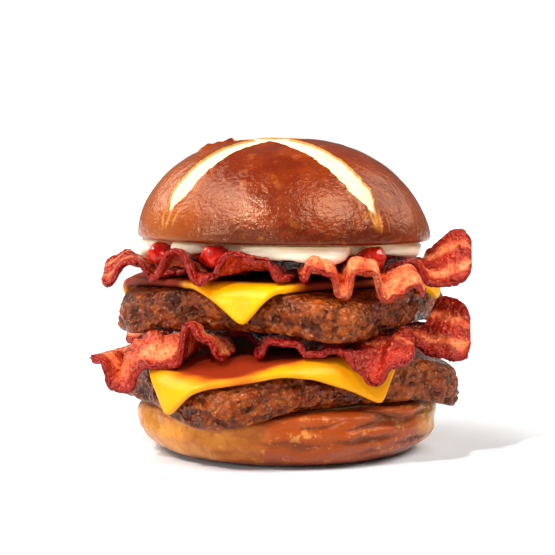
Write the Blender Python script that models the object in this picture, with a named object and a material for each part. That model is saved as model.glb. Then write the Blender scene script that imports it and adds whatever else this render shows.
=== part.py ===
"""A bacon double cheeseburger on a scored pretzel bun, built layer by layer from the heel up.

Metres, +Z up. The burger stands on the flat underside of its heel, whose centre is the origin.
The front, where the cheese corners hang, faces -Y. Every layer is a height over the plan, so each
one is worked out from the layer that it lies on and keeps a small gap to it.
"""

import math
from collections import namedtuple

import bmesh
import bpy
from mathutils import Vector, noise

GAP = 0.0004  # clearance between layers that touch

# Heel: the lower half of the bun, lower on its left side
HEEL_RADIUS = 0.0530
HEEL_FLAT = 0.0365  # radius of the flat that it stands on
HEEL_BELLY = 0.0125  # height of its widest line
HEEL_HEIGHT = 0.0200  # height of the cut face on the axis
HEEL_SLOPE = 0.020  # rise of the cut face for each metre towards +X
HEEL_RIM_DROP = 0.0012  # how far the cut face falls to its rim
HEEL_RIM_FROM, HEEL_RIM_TO = 0.0440, 0.0520
HEEL_FOOT_STEPS = 4  # rings from the flat it stands on up to its widest line
HEEL_INSETS = ((0.0014, 0.0008), (0.0040, 0.0), (0.0120, 0.0), (0.0300, 0.0))  # cut face: in and down
HEEL_CREASE, HEEL_CREASE_SIZE = 0.0013, 0.012  # depth and size of the creases in the crust

# Crown: the scored upper half of the bun
CROWN_X = -0.0010
CROWN_RADIUS = 0.0520
CROWN_CUT = 0.0750  # height of the cut face on the axis
CROWN_RIM = 0.0012  # height of the rolled rim below the widest line
CROWN_DOME = 0.0340  # height of the dome above the widest line
CROWN_FULL_TOP = 2.35  # 2 is an ellipse, more is fuller: the top of the dome is broad
CROWN_FULL_RIM = 1.85  # and its lower sides slope more than an ellipse would
CROWN_FULL_LEFT = 0.12  # the dome is fuller towards -X and slacker towards +X
CROWN_SLOPE = -0.012  # the upper half leans down a little towards +X
CROWN_DENT, CROWN_DENT_SIZE = 0.0008, 0.016
CROWN_ROLL = ((0.0004, 0.35), (0.0016, 0.0))  # the rolled rim's rings: inset, and share of its height
# lines of its grid, closest together at the cross
CROWN_STEPS = (0.0, 0.035, 0.075, 0.13, 0.20, 0.29, 0.39, 0.50, 0.61, 0.72, 0.82, 0.91, 1.0)
SCORE_TURN = math.radians(-51.5)  # direction of the arm of the cross that points to the front right
SCORE_CENTRE = (-0.0045, -0.0110)  # the cross was cut in front of the apex
SCORE_HALF = 0.0037  # half width of an arm of the cross
SCORE_DEPTH = 0.0011
SCORE_END = 0.80  # where an arm ends, as a share of the way from the centre to the rim
SCORE_TAPER = 0.28
SCORE_SIDE = 0.0012  # width of the slope at each side of an arm
FLAKE_FROM = (-0.0290, -0.0030)  # plan line of the crust flake that stands up beside the cross
FLAKE_TO = (-0.0165, 0.0020)
FLAKE_HEIGHT, FLAKE_WIDTH = 0.0016, 0.0035

# Patties: rounded squares of coarse beef, each turned its own way
Patty = namedtuple("Patty", "name x y turn half_x half_y base slope thick sags seed")
PATTY_SQUARENESS = 5.0
PATTY_EDGE = 0.0050  # how far the top and bottom edges round in
PATTY_FULL_SIDE, PATTY_FULL_EDGE = 0.8, 0.9  # below 1 the side bulges more than a circle would
PATTY_UNEVEN, PATTY_UNEVEN_SIZE = 0.0016, 0.6  # wander of the outline, on a circle of radius 1
PATTY_LUMP, PATTY_LUMP_SIZE, PATTY_LUMP_IN = 0.0014, 0.011, 0.0006  # lumps of its side
PATTY_SIDE_STEPS = 7
PATTY_TOP_RINGS = (0.84, 0.66, 0.40)  # rings of its flat faces, as shares of the radius
SAG_FROM, SAG_TO = 0.042, 0.066  # reach over which an overhanging corner bends down
LOWER = Patty(
    "patty_lower", -0.0030, 0.0020, math.radians(25), 0.0545, 0.0525,
    HEEL_HEIGHT + GAP, HEEL_SLOPE, 0.0143, ((249, 0.0057), (0, 0.0065), (160, 0.0010)), 3.0,
)
UPPER = Patty(
    "patty_upper", -0.0010, 0.0010, math.radians(-26), 0.0505, 0.0500,
    0.0460, 0.0, 0.0135, ((291, 0.0042), (201, 0.0042), (21, 0.0042), (111, 0.0030)), 11.0,
)

# Cheese: square slices, warm enough to hang over the edge of the patty
Slice = namedtuple("Slice", "name patty x y turn side")
CHEESE_THICK = 0.0026
CHEESE_CORNER = 18.0  # how square a corner stays: higher is sharper
CHEESE_LATE = 0.0022  # how far past the start of the patty's rounding a slice begins to bend
CHEESE_CLEAR = 0.0018  # how far a hanging edge stands off the patty's side
CHEESE_HANG = math.radians(80)  # steepest slope of a hanging edge
CHEESE_TOP = GAP + CHEESE_THICK  # from the patty to the top of its cheese
CHEESE_FADE = (0.0040, 0.0120)  # past its edge, where the bacon settles from its height to the patty's
SLICES = (
    Slice("cheese_lower", LOWER, -0.0070, -0.0168, math.radians(4.9), 0.0830),
    Slice("cheese_upper", UPPER, -0.0040, -0.0005, math.radians(33), 0.0890),
)

# Sauces on the crown's cut face
MAYO_TOP, MAYO_LOW = 0.0746, 0.0712
MAYO_RADIUS = 0.0485
MAYO_ROUND = 0.0014  # roundness of its rim
KETCHUP_TOP, KETCHUP_LOW = 0.0708, 0.0699
KETCHUP_RADIUS = 0.0438
KETCHUP_ROUND = 0.0010
DRIP_REACH = 0.0080  # how far a ketchup drip stands out from its layer
DRIP_HANG = 0.0030
DRIP_TOP = 0.0744
DRIP_NOTCH = 0.0058  # how far the mayonnaise stands back behind a drip
DRIP_BERTH = 3  # degrees on each side of a drip that the bacon keeps clear of
SAUCE_BERTH = 0.0018  # distance from a sauce's rim that the bacon keeps clear of
Lobe = namedtuple("Lobe", "angle reach hang width")  # degrees, and metres out and down
MAYO_LOBES = (
    Lobe(184, 0.0036, 0.0038, 12), Lobe(222, 0.0004, 0.0010, 10), Lobe(258, 0.0004, 0.0012, 9),
    Lobe(287, 0.0010, 0.0028, 16), Lobe(338, 0.0010, 0.0016, 12), Lobe(25, 0.0010, 0.0018, 16),
    Lobe(92, 0.0014, 0.0024, 18), Lobe(150, 0.0008, 0.0014, 12),
)
KETCHUP_DRIPS = (
    Lobe(206, 1, 1, 6), Lobe(241, 1, 1, 8), Lobe(309, 1, 1, 8), Lobe(62, 1, 1, 8), Lobe(122, 1, 1, 7),
)

# Bacon: ruffled strips. Start and end are plan points of the middle line. The bends give, in
# millimetres, the height of the front edge at even steps along the strip, a crest or a dip each.
# The rolls give, in degrees and at even steps too, how far the strip is turned on its front edge,
# and the lip is how far that edge curls down.
Strip = namedtuple("Strip", "name layer start end width bends steep rolls lip")
BACON_THICK = 0.0023
BACON_ROOM = GAP + 0.0016  # from the middle of a strip to the layers above and below it
BACON_SOFT = 0.0016  # how gently a strip meets the layers above and below it
BACK_EDGE = 0.55  # how much of the front edge's ruffle is left at the back edge
END_ROUND, END_LEFT = 0.0085, 0.30  # a strip's end is round over this length, down to this share
LIP_WIDTH = 0.0050  # how far from the front edge its curl reaches
EDGE_FALL, CEILING_RISE = 3.0, 4.0  # how steeply the room for the bacon opens beyond a layer's edge
EDGE_CLEAR = 0.0015  # distance past a patty's outline at which that room starts to open
DRAPE_CLEAR = 0.0045  # and how much later that is where cheese hangs over the edge
STRIPS = (
    Strip("bacon_top_front_left", 1, (-0.0450, -0.0360), (0.0020, -0.0450), 0.0190,
          (62, 73.5, 61.5, 72.5, 71, 59.5), 0.30, (8, 0, 0, 4), 0.0),
    Strip("bacon_top_front_right", 1, (0.0035, -0.0475), (0.0450, -0.0445), 0.0180,
          (60, 67, 65.5, 57.5, 67, 66, 57, 59, 61, 55), 0.50, (10, 4, 4, 8), 0.0042),
    Strip("bacon_top_second", 1, (-0.0640, -0.0140), (0.0630, -0.0220), 0.0200,
          (58, 68, 58, 69, 62, 69, 62, 69, 62, 67, 60, 60.5), 0.30, (26, 8, 0, 0, 0, 0, 0, 26, 72), 0.0),
    Strip("bacon_top_third", 1, (-0.0510, 0.0080), (0.0560, 0.0020), 0.0210,
          (62, 68, 62, 68, 62, 68, 62, 66, 62), 0.30, (24, 0, 0, 0, -8), 0.0),
    Strip("bacon_top_back", 1, (-0.0470, 0.0350), (0.0500, 0.0290), 0.0210,
          (63, 69, 62, 68, 62, 68, 62, 67), 0.40, (-14, -24, -10, -24, -18), 0.0),
    Strip("bacon_low_front_left", 0, (-0.0650, -0.0260), (-0.0190, -0.0440), 0.0200,
          (35, 35, 26, 26, 31, 29, 34, 49, 44, 37), 0.40, (0, 4, 40, 56, 50, 8, 4, 0), 0.0012),
    Strip("bacon_low_front_right", 0, (-0.0110, -0.0425), (0.0420, -0.0455), 0.0190,
          (35.5, 44, 43, 36, 41, 33.5, 29.5, 36, 35), 0.40, (10, 10, 8, 42, 28), 0.0016),
    Strip("bacon_low_second", 0, (-0.0290, -0.0160), (0.0630, -0.0160), 0.0210,
          (39, 44, 39, 44, 39, 44, 38, 34, 32.5), 0.30, (8, 0, 0, 0, 42, 74), 0.0),
    Strip("bacon_low_third", 0, (-0.0580, 0.0080), (0.0550, 0.0110), 0.0210,
          (36, 43, 39, 44, 39, 44, 39, 43, 43), 0.30, (18, 0, 0, 0, -10), 0.0),
    Strip("bacon_low_back", 0, (-0.0500, 0.0330), (0.0470, 0.0350), 0.0210,
          (37, 43, 38, 38, 43, 38, 43, 38), 0.40, (-12, -22, -10, -22, -16), 0.0),
)

# How finely each solid is divided
ROUND_STEPS = 56
SAUCE_STEPS = 80
CHEESE_STEPS = 14
STRIP_STEPS = 26
STRIP_ACROSS = (-1.0, -0.62, -0.20, 0.35, 1.0)  # closest together at the front edge, which shows


def ramp(value, start, end):
    """0 before start, 1 after end, and a smooth rise between them."""
    share = min(max((value - start) / (end - start), 0.0), 1.0)
    return share * share * (3 - 2 * share)


def roughness(x, y, z, size, seed):
    """Smooth random height between about -1 and 1, with lumps of the given size."""
    return noise.noise(Vector((x / size + seed, y / size - seed, z / size + 0.7 * seed)))


def near_angle(angle, lobe):
    """1 in the direction of a lobe, falling to 0 a little more than its width away."""
    apart = abs((math.degrees(angle) - lobe.angle + 180) % 360 - 180)
    return math.exp(-((apart / lobe.width) ** 2))


def polar(radius, angle):
    return radius * math.cos(angle), radius * math.sin(angle)


def full_turn(steps):
    return [2 * math.pi * i / steps for i in range(steps)]


# Layer heights, each as a function of the plan point

def under(patty, x, y):
    """Height of a patty's underside, with its overhanging corners bent down."""
    height = patty.base + patty.slope * x
    for degrees, drop in patty.sags:
        reach = x * math.cos(math.radians(degrees)) + y * math.sin(math.radians(degrees))
        height -= drop * ramp(reach, SAG_FROM, SAG_TO)
    return height


def over(patty, x, y):
    return under(patty, x, y) + patty.thick


def heel_top(x, y):
    """Height of the heel's cut face, which the patty has pressed to its own underside."""
    rim = HEEL_RIM_DROP * ramp(math.hypot(x, y), HEEL_RIM_FROM, HEEL_RIM_TO)
    return under(LOWER, x, y) - GAP - rim


def outline(patty, angle):
    """Radius of a patty in a direction from its own centre."""
    turned = angle - patty.turn
    power = PATTY_SQUARENESS
    square = abs(math.cos(turned) / patty.half_x) ** power + abs(math.sin(turned) / patty.half_y) ** power
    wobble = roughness(math.cos(angle), math.sin(angle), 0, PATTY_UNEVEN_SIZE, patty.seed)
    return square ** (-1 / power) + PATTY_UNEVEN * wobble


def outside(patty, x, y):
    """Distance of a plan point outside a patty's outline, negative inside."""
    dx, dy = x - patty.x, y - patty.y
    return math.hypot(dx, dy) - outline(patty, math.atan2(dy, dx))


def drip_at(angle, spread=0):
    """1 in the direction of a ketchup drip, 0 well beside it, for drips that are wider by the spread."""
    return max(near_angle(angle, drip._replace(width=drip.width + spread)) for drip in KETCHUP_DRIPS)


def mayo_rim(angle):
    """Radius of the mayonnaise, set well back wherever a ketchup drip could reach up to it."""
    lobes = sum(lobe.reach * near_angle(angle, lobe) for lobe in MAYO_LOBES)
    return MAYO_RADIUS + lobes - DRIP_NOTCH * min(1.0, 3 * drip_at(angle))


def mayo_low(angle):
    """Height of the mayonnaise's lower rim."""
    hang = sum(lobe.hang * near_angle(angle, lobe) for lobe in MAYO_LOBES)
    return MAYO_LOW - hang * max(0.0, 1 - 10 * drip_at(angle))


def ketchup_rim(angle):
    return KETCHUP_RADIUS + DRIP_REACH * drip_at(angle)


def ketchup_low(angle):
    """Height of the ketchup's lower rim."""
    return KETCHUP_LOW - DRIP_HANG * drip_at(angle)


def sauce_under(x, y):
    """Lowest sauce above a plan point. Outside the sauces it climbs away quickly to the crown's crust."""
    radius, angle = math.hypot(x - CROWN_X, y), math.atan2(y, x - CROWN_X)
    drip = drip_at(angle, DRIP_BERTH)
    rim = max(mayo_rim(angle), KETCHUP_RADIUS + DRIP_REACH * drip) + SAUCE_BERTH
    hanging = min(mayo_low(angle) - KETCHUP_LOW, -DRIP_HANG * drip)
    low = KETCHUP_LOW + min(hanging, 0.0) * ramp(radius, 0.9 * KETCHUP_RADIUS, KETCHUP_RADIUS)
    low += CEILING_RISE * max(0.0, radius - rim)
    crust = CROWN_CUT + CEILING_RISE * max(0.0, radius - CROWN_RADIUS - SAUCE_BERTH)
    return min(low, crust) + CROWN_SLOPE * x


def covered(slice_, x, y):
    """1 where a cheese slice lies, 0 well outside it."""
    dx, dy = x - slice_.x, y - slice_.y
    along = abs(dx * math.cos(slice_.turn) + dy * math.sin(slice_.turn))
    across = abs(dy * math.cos(slice_.turn) - dx * math.sin(slice_.turn))
    return 1 - ramp(max(along, across) - slice_.side / 2, *CHEESE_FADE)


def room(layer, x, y):
    """Lowest and highest height that a bacon strip's middle may take at a plan point."""
    patty = (LOWER, UPPER)[layer]
    cheese_here = covered(SLICES[layer], x, y)
    past_edge = max(0.0, outside(patty, x, y) - EDGE_CLEAR - DRAPE_CLEAR * cheese_here)
    floor = over(patty, x, y) + CHEESE_TOP * cheese_here - EDGE_FALL * past_edge
    if layer == 0:
        ceiling = under(UPPER, x, y) + EDGE_FALL * max(0.0, outside(UPPER, x, y) - EDGE_CLEAR)
    else:
        ceiling = sauce_under(x, y)
    return floor + BACON_ROOM, ceiling - BACON_ROOM


# Turning points into solids

def food_material(name, colour, roughness_value):
    material = bpy.data.materials.new(name)
    material.use_nodes = True
    shader = material.node_tree.nodes["Principled BSDF"]
    shader.inputs["Base Color"].default_value = (*colour, 1)
    shader.inputs["Roughness"].default_value = roughness_value
    shader.inputs["Metallic"].default_value = 0
    return material


def add_solid(name, points, faces, material):
    """A named object from a closed mesh, its faces turned outwards."""
    mesh = bpy.data.meshes.new(name)
    mesh.from_pydata(points, [], faces)
    shell = bmesh.new()
    shell.from_mesh(mesh)
    bmesh.ops.recalc_face_normals(shell, faces=shell.faces)
    bmesh.ops.triangulate(shell, faces=shell.faces)
    shell.to_mesh(mesh)
    shell.free()
    mesh.shade_smooth()
    mesh.set_sharp_from_angle(angle=math.radians(50))
    mesh.materials.append(material)
    solid = bpy.data.objects.new(name, mesh)
    bpy.context.scene.collection.objects.link(solid)
    return solid


def add_rings(name, rings, material):
    """A closed solid through rings of points, from one pole to the other. A pole is a ring of one point."""
    points = [point for ring in rings for point in ring]
    faces = []
    start = 0
    for low, high in zip(rings, rings[1:]):
        upper = start + len(low)
        count = max(len(low), len(high))
        for i in range(count):
            j = (i + 1) % count
            if len(low) == 1:
                faces.append((start, upper + j, upper + i))
            elif len(high) == 1:
                faces.append((start + i, start + j, upper))
            else:
                faces.append((start + i, start + j, upper + j, upper + i))
        start = upper
    return add_solid(name, points, faces, material)


def grid_border(rows, columns):
    """Numbers of the points round the edge of a grid that is numbered row by row."""
    border = list(range(columns))
    border += [i * columns + columns - 1 for i in range(1, rows)]
    border += [(rows - 1) * columns + j for j in range(columns - 2, -1, -1)]
    return border + [i * columns for i in range(rows - 2, 0, -1)]


def add_sheet(name, middle, thickness, material):
    """A closed sheet of even thickness about a grid of points on its middle surface."""
    rows, columns = len(middle), len(middle[0])
    top, bottom = [], []
    for i in range(rows):
        for j in range(columns):
            along = middle[min(i + 1, rows - 1)][j] - middle[max(i - 1, 0)][j]
            across = middle[i][min(j + 1, columns - 1)] - middle[i][max(j - 1, 0)]
            offset = along.cross(across).normalized() * thickness / 2
            top.append(middle[i][j] + offset)
            bottom.append(middle[i][j] - offset)
    under_side = len(top)
    faces = []
    for i in range(rows - 1):
        for j in range(columns - 1):
            a = i * columns + j
            quad = (a, a + columns, a + columns + 1, a + 1)
            faces.append(quad)
            faces.append(tuple(under_side + k for k in reversed(quad)))
    border = grid_border(rows, columns)
    for a, b in zip(border, border[1:] + border[:1]):
        faces.append((a, b, under_side + b, under_side + a))
    return add_solid(name, top + bottom, faces, material)


# The pieces

def heel_ring(radius, height_at):
    ring = []
    for angle in full_turn(ROUND_STEPS):
        x, y = polar(radius, angle)
        height = height_at(x, y)
        if height > 0:
            crease = HEEL_CREASE * roughness(x, y, 2.2 * height, HEEL_CREASE_SIZE, 5.0)
            x, y = polar(radius + crease, angle)
        ring.append((x, y, height))
    return ring


def heel(material):
    """The heel: a flat foot, a full belly, a rounded upper rim and the sloping cut face."""
    rings = [[(0, 0, 0)], heel_ring(HEEL_FLAT * 0.5, lambda x, y: 0), heel_ring(HEEL_FLAT, lambda x, y: 0)]
    for step in range(1, HEEL_FOOT_STEPS + 1):
        turn = math.pi / 2 * step / HEEL_FOOT_STEPS
        radius = HEEL_FLAT + (HEEL_RADIUS - HEEL_FLAT) * math.sin(turn)
        height = HEEL_BELLY * (1 - math.cos(turn))
        rings.append(heel_ring(radius, lambda x, y, h=height: h))
    rim = HEEL_RADIUS - 0.0010
    rings.append(heel_ring(rim, lambda x, y: HEEL_BELLY + 0.55 * (heel_top(x, y) - HEEL_BELLY)))
    for inset, drop in HEEL_INSETS:
        rings.append(heel_ring(rim - inset, lambda x, y, d=drop: heel_top(x, y) - d))
    rings.append([(0, 0, heel_top(0, 0))])
    return add_rings("bun_heel", rings, material)


def patty_ring(patty, inset_at, share, relief):
    """One ring of a patty: inset from its outline, at a share of its thickness, with coarse beef relief."""
    ring = []
    for angle in full_turn(ROUND_STEPS):
        radius = inset_at(outline(patty, angle))
        x, y = polar(radius, angle)
        x, y = x + patty.x, y + patty.y
        height = under(patty, x, y) + share * patty.thick
        push = relief * (PATTY_LUMP * roughness(x, y, height, PATTY_LUMP_SIZE, patty.seed) - PATTY_LUMP_IN)
        x, y = x + push * math.cos(angle), y + push * math.sin(angle)
        ring.append((x, y, height))
    return ring


def patty_body(patty, material):
    """A patty from the middle of its underside, round its side, to the middle of its top."""
    rings = [[(patty.x, patty.y, under(patty, patty.x, patty.y))]]
    for scale in reversed(PATTY_TOP_RINGS):
        rings.append(patty_ring(patty, lambda r, s=scale: (r - PATTY_EDGE) * s, 0.0, 0))
    for step in range(PATTY_SIDE_STEPS + 1):
        turn = math.pi * (step / PATTY_SIDE_STEPS - 0.5)
        bulge = max(0.0, math.cos(turn))
        inset = PATTY_EDGE * (1 - bulge ** PATTY_FULL_SIDE)
        share = 0.5 + 0.5 * math.copysign(abs(math.sin(turn)) ** PATTY_FULL_EDGE, turn)
        rings.append(patty_ring(patty, lambda r, i=inset: r - i, share, bulge))
    for scale in PATTY_TOP_RINGS:
        rings.append(patty_ring(patty, lambda r, s=scale: (r - PATTY_EDGE) * s, 1.0, 0))
    rings.append([(patty.x, patty.y, over(patty, patty.x, patty.y))])
    return add_rings(patty.name, rings, material)


def drape(patty, x, y, lift):
    """Where a point of a slice goes: on top of the patty, or bent down over its edge."""
    angle = math.atan2(y - patty.y, x - patty.x)
    edge = outline(patty, angle) - PATTY_EDGE + CHEESE_LATE
    beyond = math.hypot(x - patty.x, y - patty.y) - edge
    if beyond <= 0:
        return Vector((x, y, over(patty, x, y) + lift))
    bend = PATTY_EDGE - CHEESE_LATE + CHEESE_CLEAR + CHEESE_THICK / 2
    turn = min(beyond / bend, CHEESE_HANG)
    straight = max(0.0, beyond - bend * CHEESE_HANG)
    out = bend * math.sin(turn) + straight * math.cos(CHEESE_HANG)
    down = bend * (1 - math.cos(turn)) + straight * math.sin(CHEESE_HANG)
    edge_x, edge_y = polar(edge, angle)
    height = over(patty, patty.x + edge_x, patty.y + edge_y) + lift
    far_x, far_y = polar(edge + out, angle)
    return Vector((patty.x + far_x, patty.y + far_y, height - down))


def spread_steps(steps):
    """Even steps from -1 to 1, drawn a little closer together towards both ends."""
    even = [2 * i / steps - 1 for i in range(steps + 1)]
    return [0.5 * t + 0.5 * math.sin(math.pi / 2 * t) for t in even]


def cheese(slice_, material):
    grid = []
    for a in spread_steps(CHEESE_STEPS):
        row = []
        for b in spread_steps(CHEESE_STEPS):
            blunt = (abs(a) ** CHEESE_CORNER + abs(b) ** CHEESE_CORNER) ** (1 / CHEESE_CORNER)
            scale = slice_.side / 2 * max(abs(a), abs(b)) / blunt if blunt else 0
            flat = Vector((a, b)) * scale
            x = slice_.x + flat.x * math.cos(slice_.turn) - flat.y * math.sin(slice_.turn)
            y = slice_.y + flat.x * math.sin(slice_.turn) + flat.y * math.cos(slice_.turn)
            row.append(drape(slice_.patty, x, y, GAP + CHEESE_THICK / 2))
        grid.append(row)
    return add_sheet(slice_.name, grid, CHEESE_THICK, material)


def sauce_point(radius, angle, height):
    x, y = polar(radius, angle)
    x += CROWN_X
    return x, y, height + CROWN_SLOPE * x


def sauce_rings(name, profile, low, high, material):
    """A sauce layer: profile gives the radius and height of each ring between its two poles."""
    rings = [[sauce_point(0, 0, low)]]
    for ring_at in profile:
        rings.append([sauce_point(*ring_at(angle)) for angle in full_turn(SAUCE_STEPS)])
    rings.append([sauce_point(0, 0, high)])
    return add_rings(name, rings, material)


def mayo(material):
    """A thick spread whose lobes swell out and hang at its rim."""
    def inner(angle):
        return min(KETCHUP_RADIUS + 0.0012, mayo_rim(angle) - 2 * MAYO_ROUND), angle, MAYO_LOW

    def lower(angle):
        return mayo_rim(angle) - MAYO_ROUND, angle, mayo_low(angle)

    def bulge(angle):
        return mayo_rim(angle), angle, (mayo_low(angle) + MAYO_TOP) / 2

    def upper(angle):
        return mayo_rim(angle) - MAYO_ROUND, angle, MAYO_TOP

    return sauce_rings("mayonnaise", (inner, lower, bulge, upper), MAYO_LOW, MAYO_TOP, material)


def ketchup(material):
    """A thin spread whose drips swell up in front of the mayonnaise."""
    def swell(radius, angle):
        back = mayo_rim(angle) + 0.0006
        full = ramp(drip_at(angle), 0.65, 0.95)
        return KETCHUP_TOP + (DRIP_TOP - KETCHUP_TOP) * full * ramp(radius, back, back + 0.0018)

    def inner_low(angle):
        return KETCHUP_RADIUS - 0.0016, angle, KETCHUP_LOW

    def lower(angle):
        return ketchup_rim(angle) - KETCHUP_ROUND, angle, ketchup_low(angle)

    def bulge(angle):
        radius = ketchup_rim(angle)
        return radius, angle, 0.5 * (ketchup_low(angle) + swell(radius - KETCHUP_ROUND, angle))

    def upper(angle):
        radius = ketchup_rim(angle) - KETCHUP_ROUND
        return radius, angle, swell(radius, angle)

    def shoulder(angle):
        radius = min(ketchup_rim(angle) - 2.5 * KETCHUP_ROUND, mayo_rim(angle) + 0.0020)
        return radius, angle, swell(radius, angle)

    def inner_high(angle):
        return min(ketchup_rim(angle) - 3.2 * KETCHUP_ROUND, mayo_rim(angle) + 0.0003), angle, KETCHUP_TOP

    profile = (inner_low, lower, bulge, upper, shoulder, inner_high)
    return sauce_rings("ketchup", profile, KETCHUP_LOW, KETCHUP_TOP, material)


def ruffle(strip, u):
    """How far along a strip a point lies, as a share, and the height of the front edge there."""
    count = len(strip.bends) - 1
    bend = min(int(u * count), count - 1)
    share = u * count - bend
    low, high = strip.bends[bend], strip.bends[bend + 1]
    along = bend + share + strip.steep * math.sin(2 * math.pi * share) / (2 * math.pi)
    return along / count, (low + (high - low) * (1 - math.cos(math.pi * share)) / 2) / 1000


def along_list(values, share):
    """The value at a share of the way along a list of values at even steps."""
    place = min(max(share, 0.0), 1.0) * (len(values) - 1)
    step = min(int(place), len(values) - 2)
    return values[step] + (values[step + 1] - values[step]) * ramp(place - step, 0.0, 1.0)


def end_share(to_end):
    """Share of a strip's width that is left at a distance from its round end."""
    away = min(max(to_end / END_ROUND, 0.0), 1.0)
    return END_LEFT + (1 - END_LEFT) * math.sqrt(1 - (1 - away) ** 2)


def between(height, low, high):
    """The height, kept between two limits that it meets softly."""
    near = max(BACON_SOFT - abs(high - height), 0.0) / BACON_SOFT
    height = min(height, high) - near * near * BACON_SOFT / 4
    near = max(BACON_SOFT - abs(height - low), 0.0) / BACON_SOFT
    return max(height, low) + near * near * BACON_SOFT / 4


def strip_middle(strip, u, v):
    """A point on the middle surface of a strip, u along it from 0 to 1 and v across it from -1 to 1."""
    start, end = Vector(strip.start), Vector(strip.end)
    ahead = (end - start).normalized()
    aside = Vector((-ahead.y, ahead.x))
    share, front = ruffle(strip, u)
    level = sum(strip.bends) / len(strip.bends) / 1000
    length = (end - start).length
    half = strip.width / 2
    across = half * (1 + v * end_share(min(share, 1 - share) * length))
    back = (1 - BACK_EDGE) * across / strip.width
    roll = math.radians(along_list(strip.rolls, share))
    plan = start + (end - start) * share + aside * (across * math.cos(roll) - half)
    height = front + (level - front) * back + across * math.sin(roll)
    height += strip.lip * ramp(across, 0.0, LIP_WIDTH)
    low, high = room(strip.layer, plan.x, plan.y)
    return Vector((plan.x, plan.y, between(height, low, max(high, low))))


def bacon(strip, material):
    grid = [[strip_middle(strip, i / STRIP_STEPS, v) for v in STRIP_ACROSS] for i in range(STRIP_STEPS + 1)]
    return add_sheet(strip.name, grid, BACON_THICK, material)


def dome(x, y):
    """Height of the smooth crust above the crown's widest line, at a plan point from its axis."""
    away = min(math.hypot(x, y) / CROWN_RADIUS, 1.0)
    power = CROWN_FULL_TOP + (CROWN_FULL_RIM - CROWN_FULL_TOP) * away ** 2
    power -= CROWN_FULL_LEFT * x / CROWN_RADIUS
    return CROWN_DOME * (1 - away ** power) ** (1 / power)


def flake(x, y):
    """Extra height where a flake of crust stands up."""
    start, end = Vector(FLAKE_FROM), Vector(FLAKE_TO)
    line = end - start
    share = min(max((Vector((x, y)) - start).dot(line) / line.length_squared, 0.0), 1.0)
    away = (Vector((x, y)) - start - line * share).length
    return FLAKE_HEIGHT * (1 - ramp(away, 0.0, FLAKE_WIDTH))


def dome_point(a, b):
    """A point of the crust from a square grid, whose two middle lines run along the arms of the cross."""
    u = a * math.sqrt(1 - b * b / 2)
    v = b * math.sqrt(1 - a * a / 2)
    away = min(math.hypot(u, v), 1.0)
    stretch = CROWN_RADIUS * math.sin(math.pi / 2 * away) / away if away > 1e-9 else 0.0
    along, across = u * stretch, v * stretch
    shift = math.cos(math.pi / 2 * away) ** 2
    x = along * math.cos(SCORE_TURN) - across * math.sin(SCORE_TURN) + SCORE_CENTRE[0] * shift
    y = along * math.sin(SCORE_TURN) + across * math.cos(SCORE_TURN) + SCORE_CENTRE[1] * shift
    cut = 0.0
    for beside, reach in ((across, u), (along, v)):
        left = ramp(SCORE_END - abs(reach), 0.0, SCORE_TAPER)
        edge = SCORE_HALF * left - abs(beside)
        cut = max(cut, ramp(edge, -SCORE_SIDE / 3, SCORE_SIDE * 2 / 3) * min(1.0, 3 * left))
    rise = dome(x, y)
    dent = CROWN_DENT * roughness(x, y, rise, CROWN_DENT_SIZE, 9.0)
    dent *= ramp(away, 0.3, 0.9) * (1 - ramp(away, 0.9, 1.0))
    height = CROWN_CUT + CROWN_RIM + rise - SCORE_DEPTH * cut + dent + flake(x, y)
    return x + CROWN_X, y, height + CROWN_SLOPE * x


def crown(material):
    """The crown: a scored dome on a square grid, a rolled rim and a flat cut face."""
    steps = [-t for t in reversed(CROWN_STEPS[1:])] + list(CROWN_STEPS)
    size = len(steps)
    points = [dome_point(a, b) for a in steps for b in steps]
    faces = []
    for i in range(size - 1):
        for j in range(size - 1):
            k = i * size + j
            faces.append((k, k + size, k + size + 1, k + 1))
    border = grid_border(size, size)
    last = border
    for inset, rise in CROWN_ROLL:
        ring = []
        for k in border:
            x, y = points[k][0] - CROWN_X, points[k][1]
            scale = (CROWN_RADIUS - inset) / CROWN_RADIUS
            ring.append(len(points))
            height = CROWN_CUT + CROWN_RIM * rise + CROWN_SLOPE * x
            points.append((x * scale + CROWN_X, y * scale, height))
        for i in range(len(ring)):
            j = (i + 1) % len(ring)
            faces.append((last[i], last[j], ring[j], ring[i]))
        last = ring
    points.append((CROWN_X, 0, CROWN_CUT))
    for i in range(len(last)):
        faces.append((last[i], last[(i + 1) % len(last)], len(points) - 1))
    return add_solid("bun_crown", points, faces, material)


def main():
    for old in list(bpy.data.objects):
        bpy.data.objects.remove(old)
    heel(food_material("heel_crust", (0.60, 0.24, 0.06), 0.45))
    beef = food_material("beef", (0.17, 0.055, 0.022), 0.50)
    cheddar = food_material("cheese", (0.90, 0.48, 0.02), 0.35)
    cured = food_material("bacon", (0.55, 0.07, 0.03), 0.35)
    for patty, slice_ in zip((LOWER, UPPER), SLICES):
        patty_body(patty, beef)
        cheese(slice_, cheddar)
    for strip in STRIPS:
        bacon(strip, cured)
    ketchup(food_material("ketchup", (0.45, 0.02, 0.012), 0.18))
    mayo(food_material("mayonnaise", (0.90, 0.80, 0.58), 0.25))
    crown(food_material("crown_crust", (0.33, 0.07, 0.018), 0.40))


main()
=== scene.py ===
# %% [markdown]
# # A bacon double cheeseburger on a scored pretzel bun
#
# This script dresses a plain CAD model as food. From the table up there is the heel of the bun, a
# patty with its cheese and bacon, a second patty with its cheese and bacon, ketchup and
# mayonnaise, and the crown. The CAD solids say where each piece lies and how large it is. Each one
# is replaced here by a finer mesh that follows the same rule, with the food's relief and colour.

# %% Load the CAD model
from collections import namedtuple
from math import atan2, copysign, cos, degrees, exp, hypot, pi, radians, sin, sqrt

import bpy
import numpy as np
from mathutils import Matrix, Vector, noise


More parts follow.
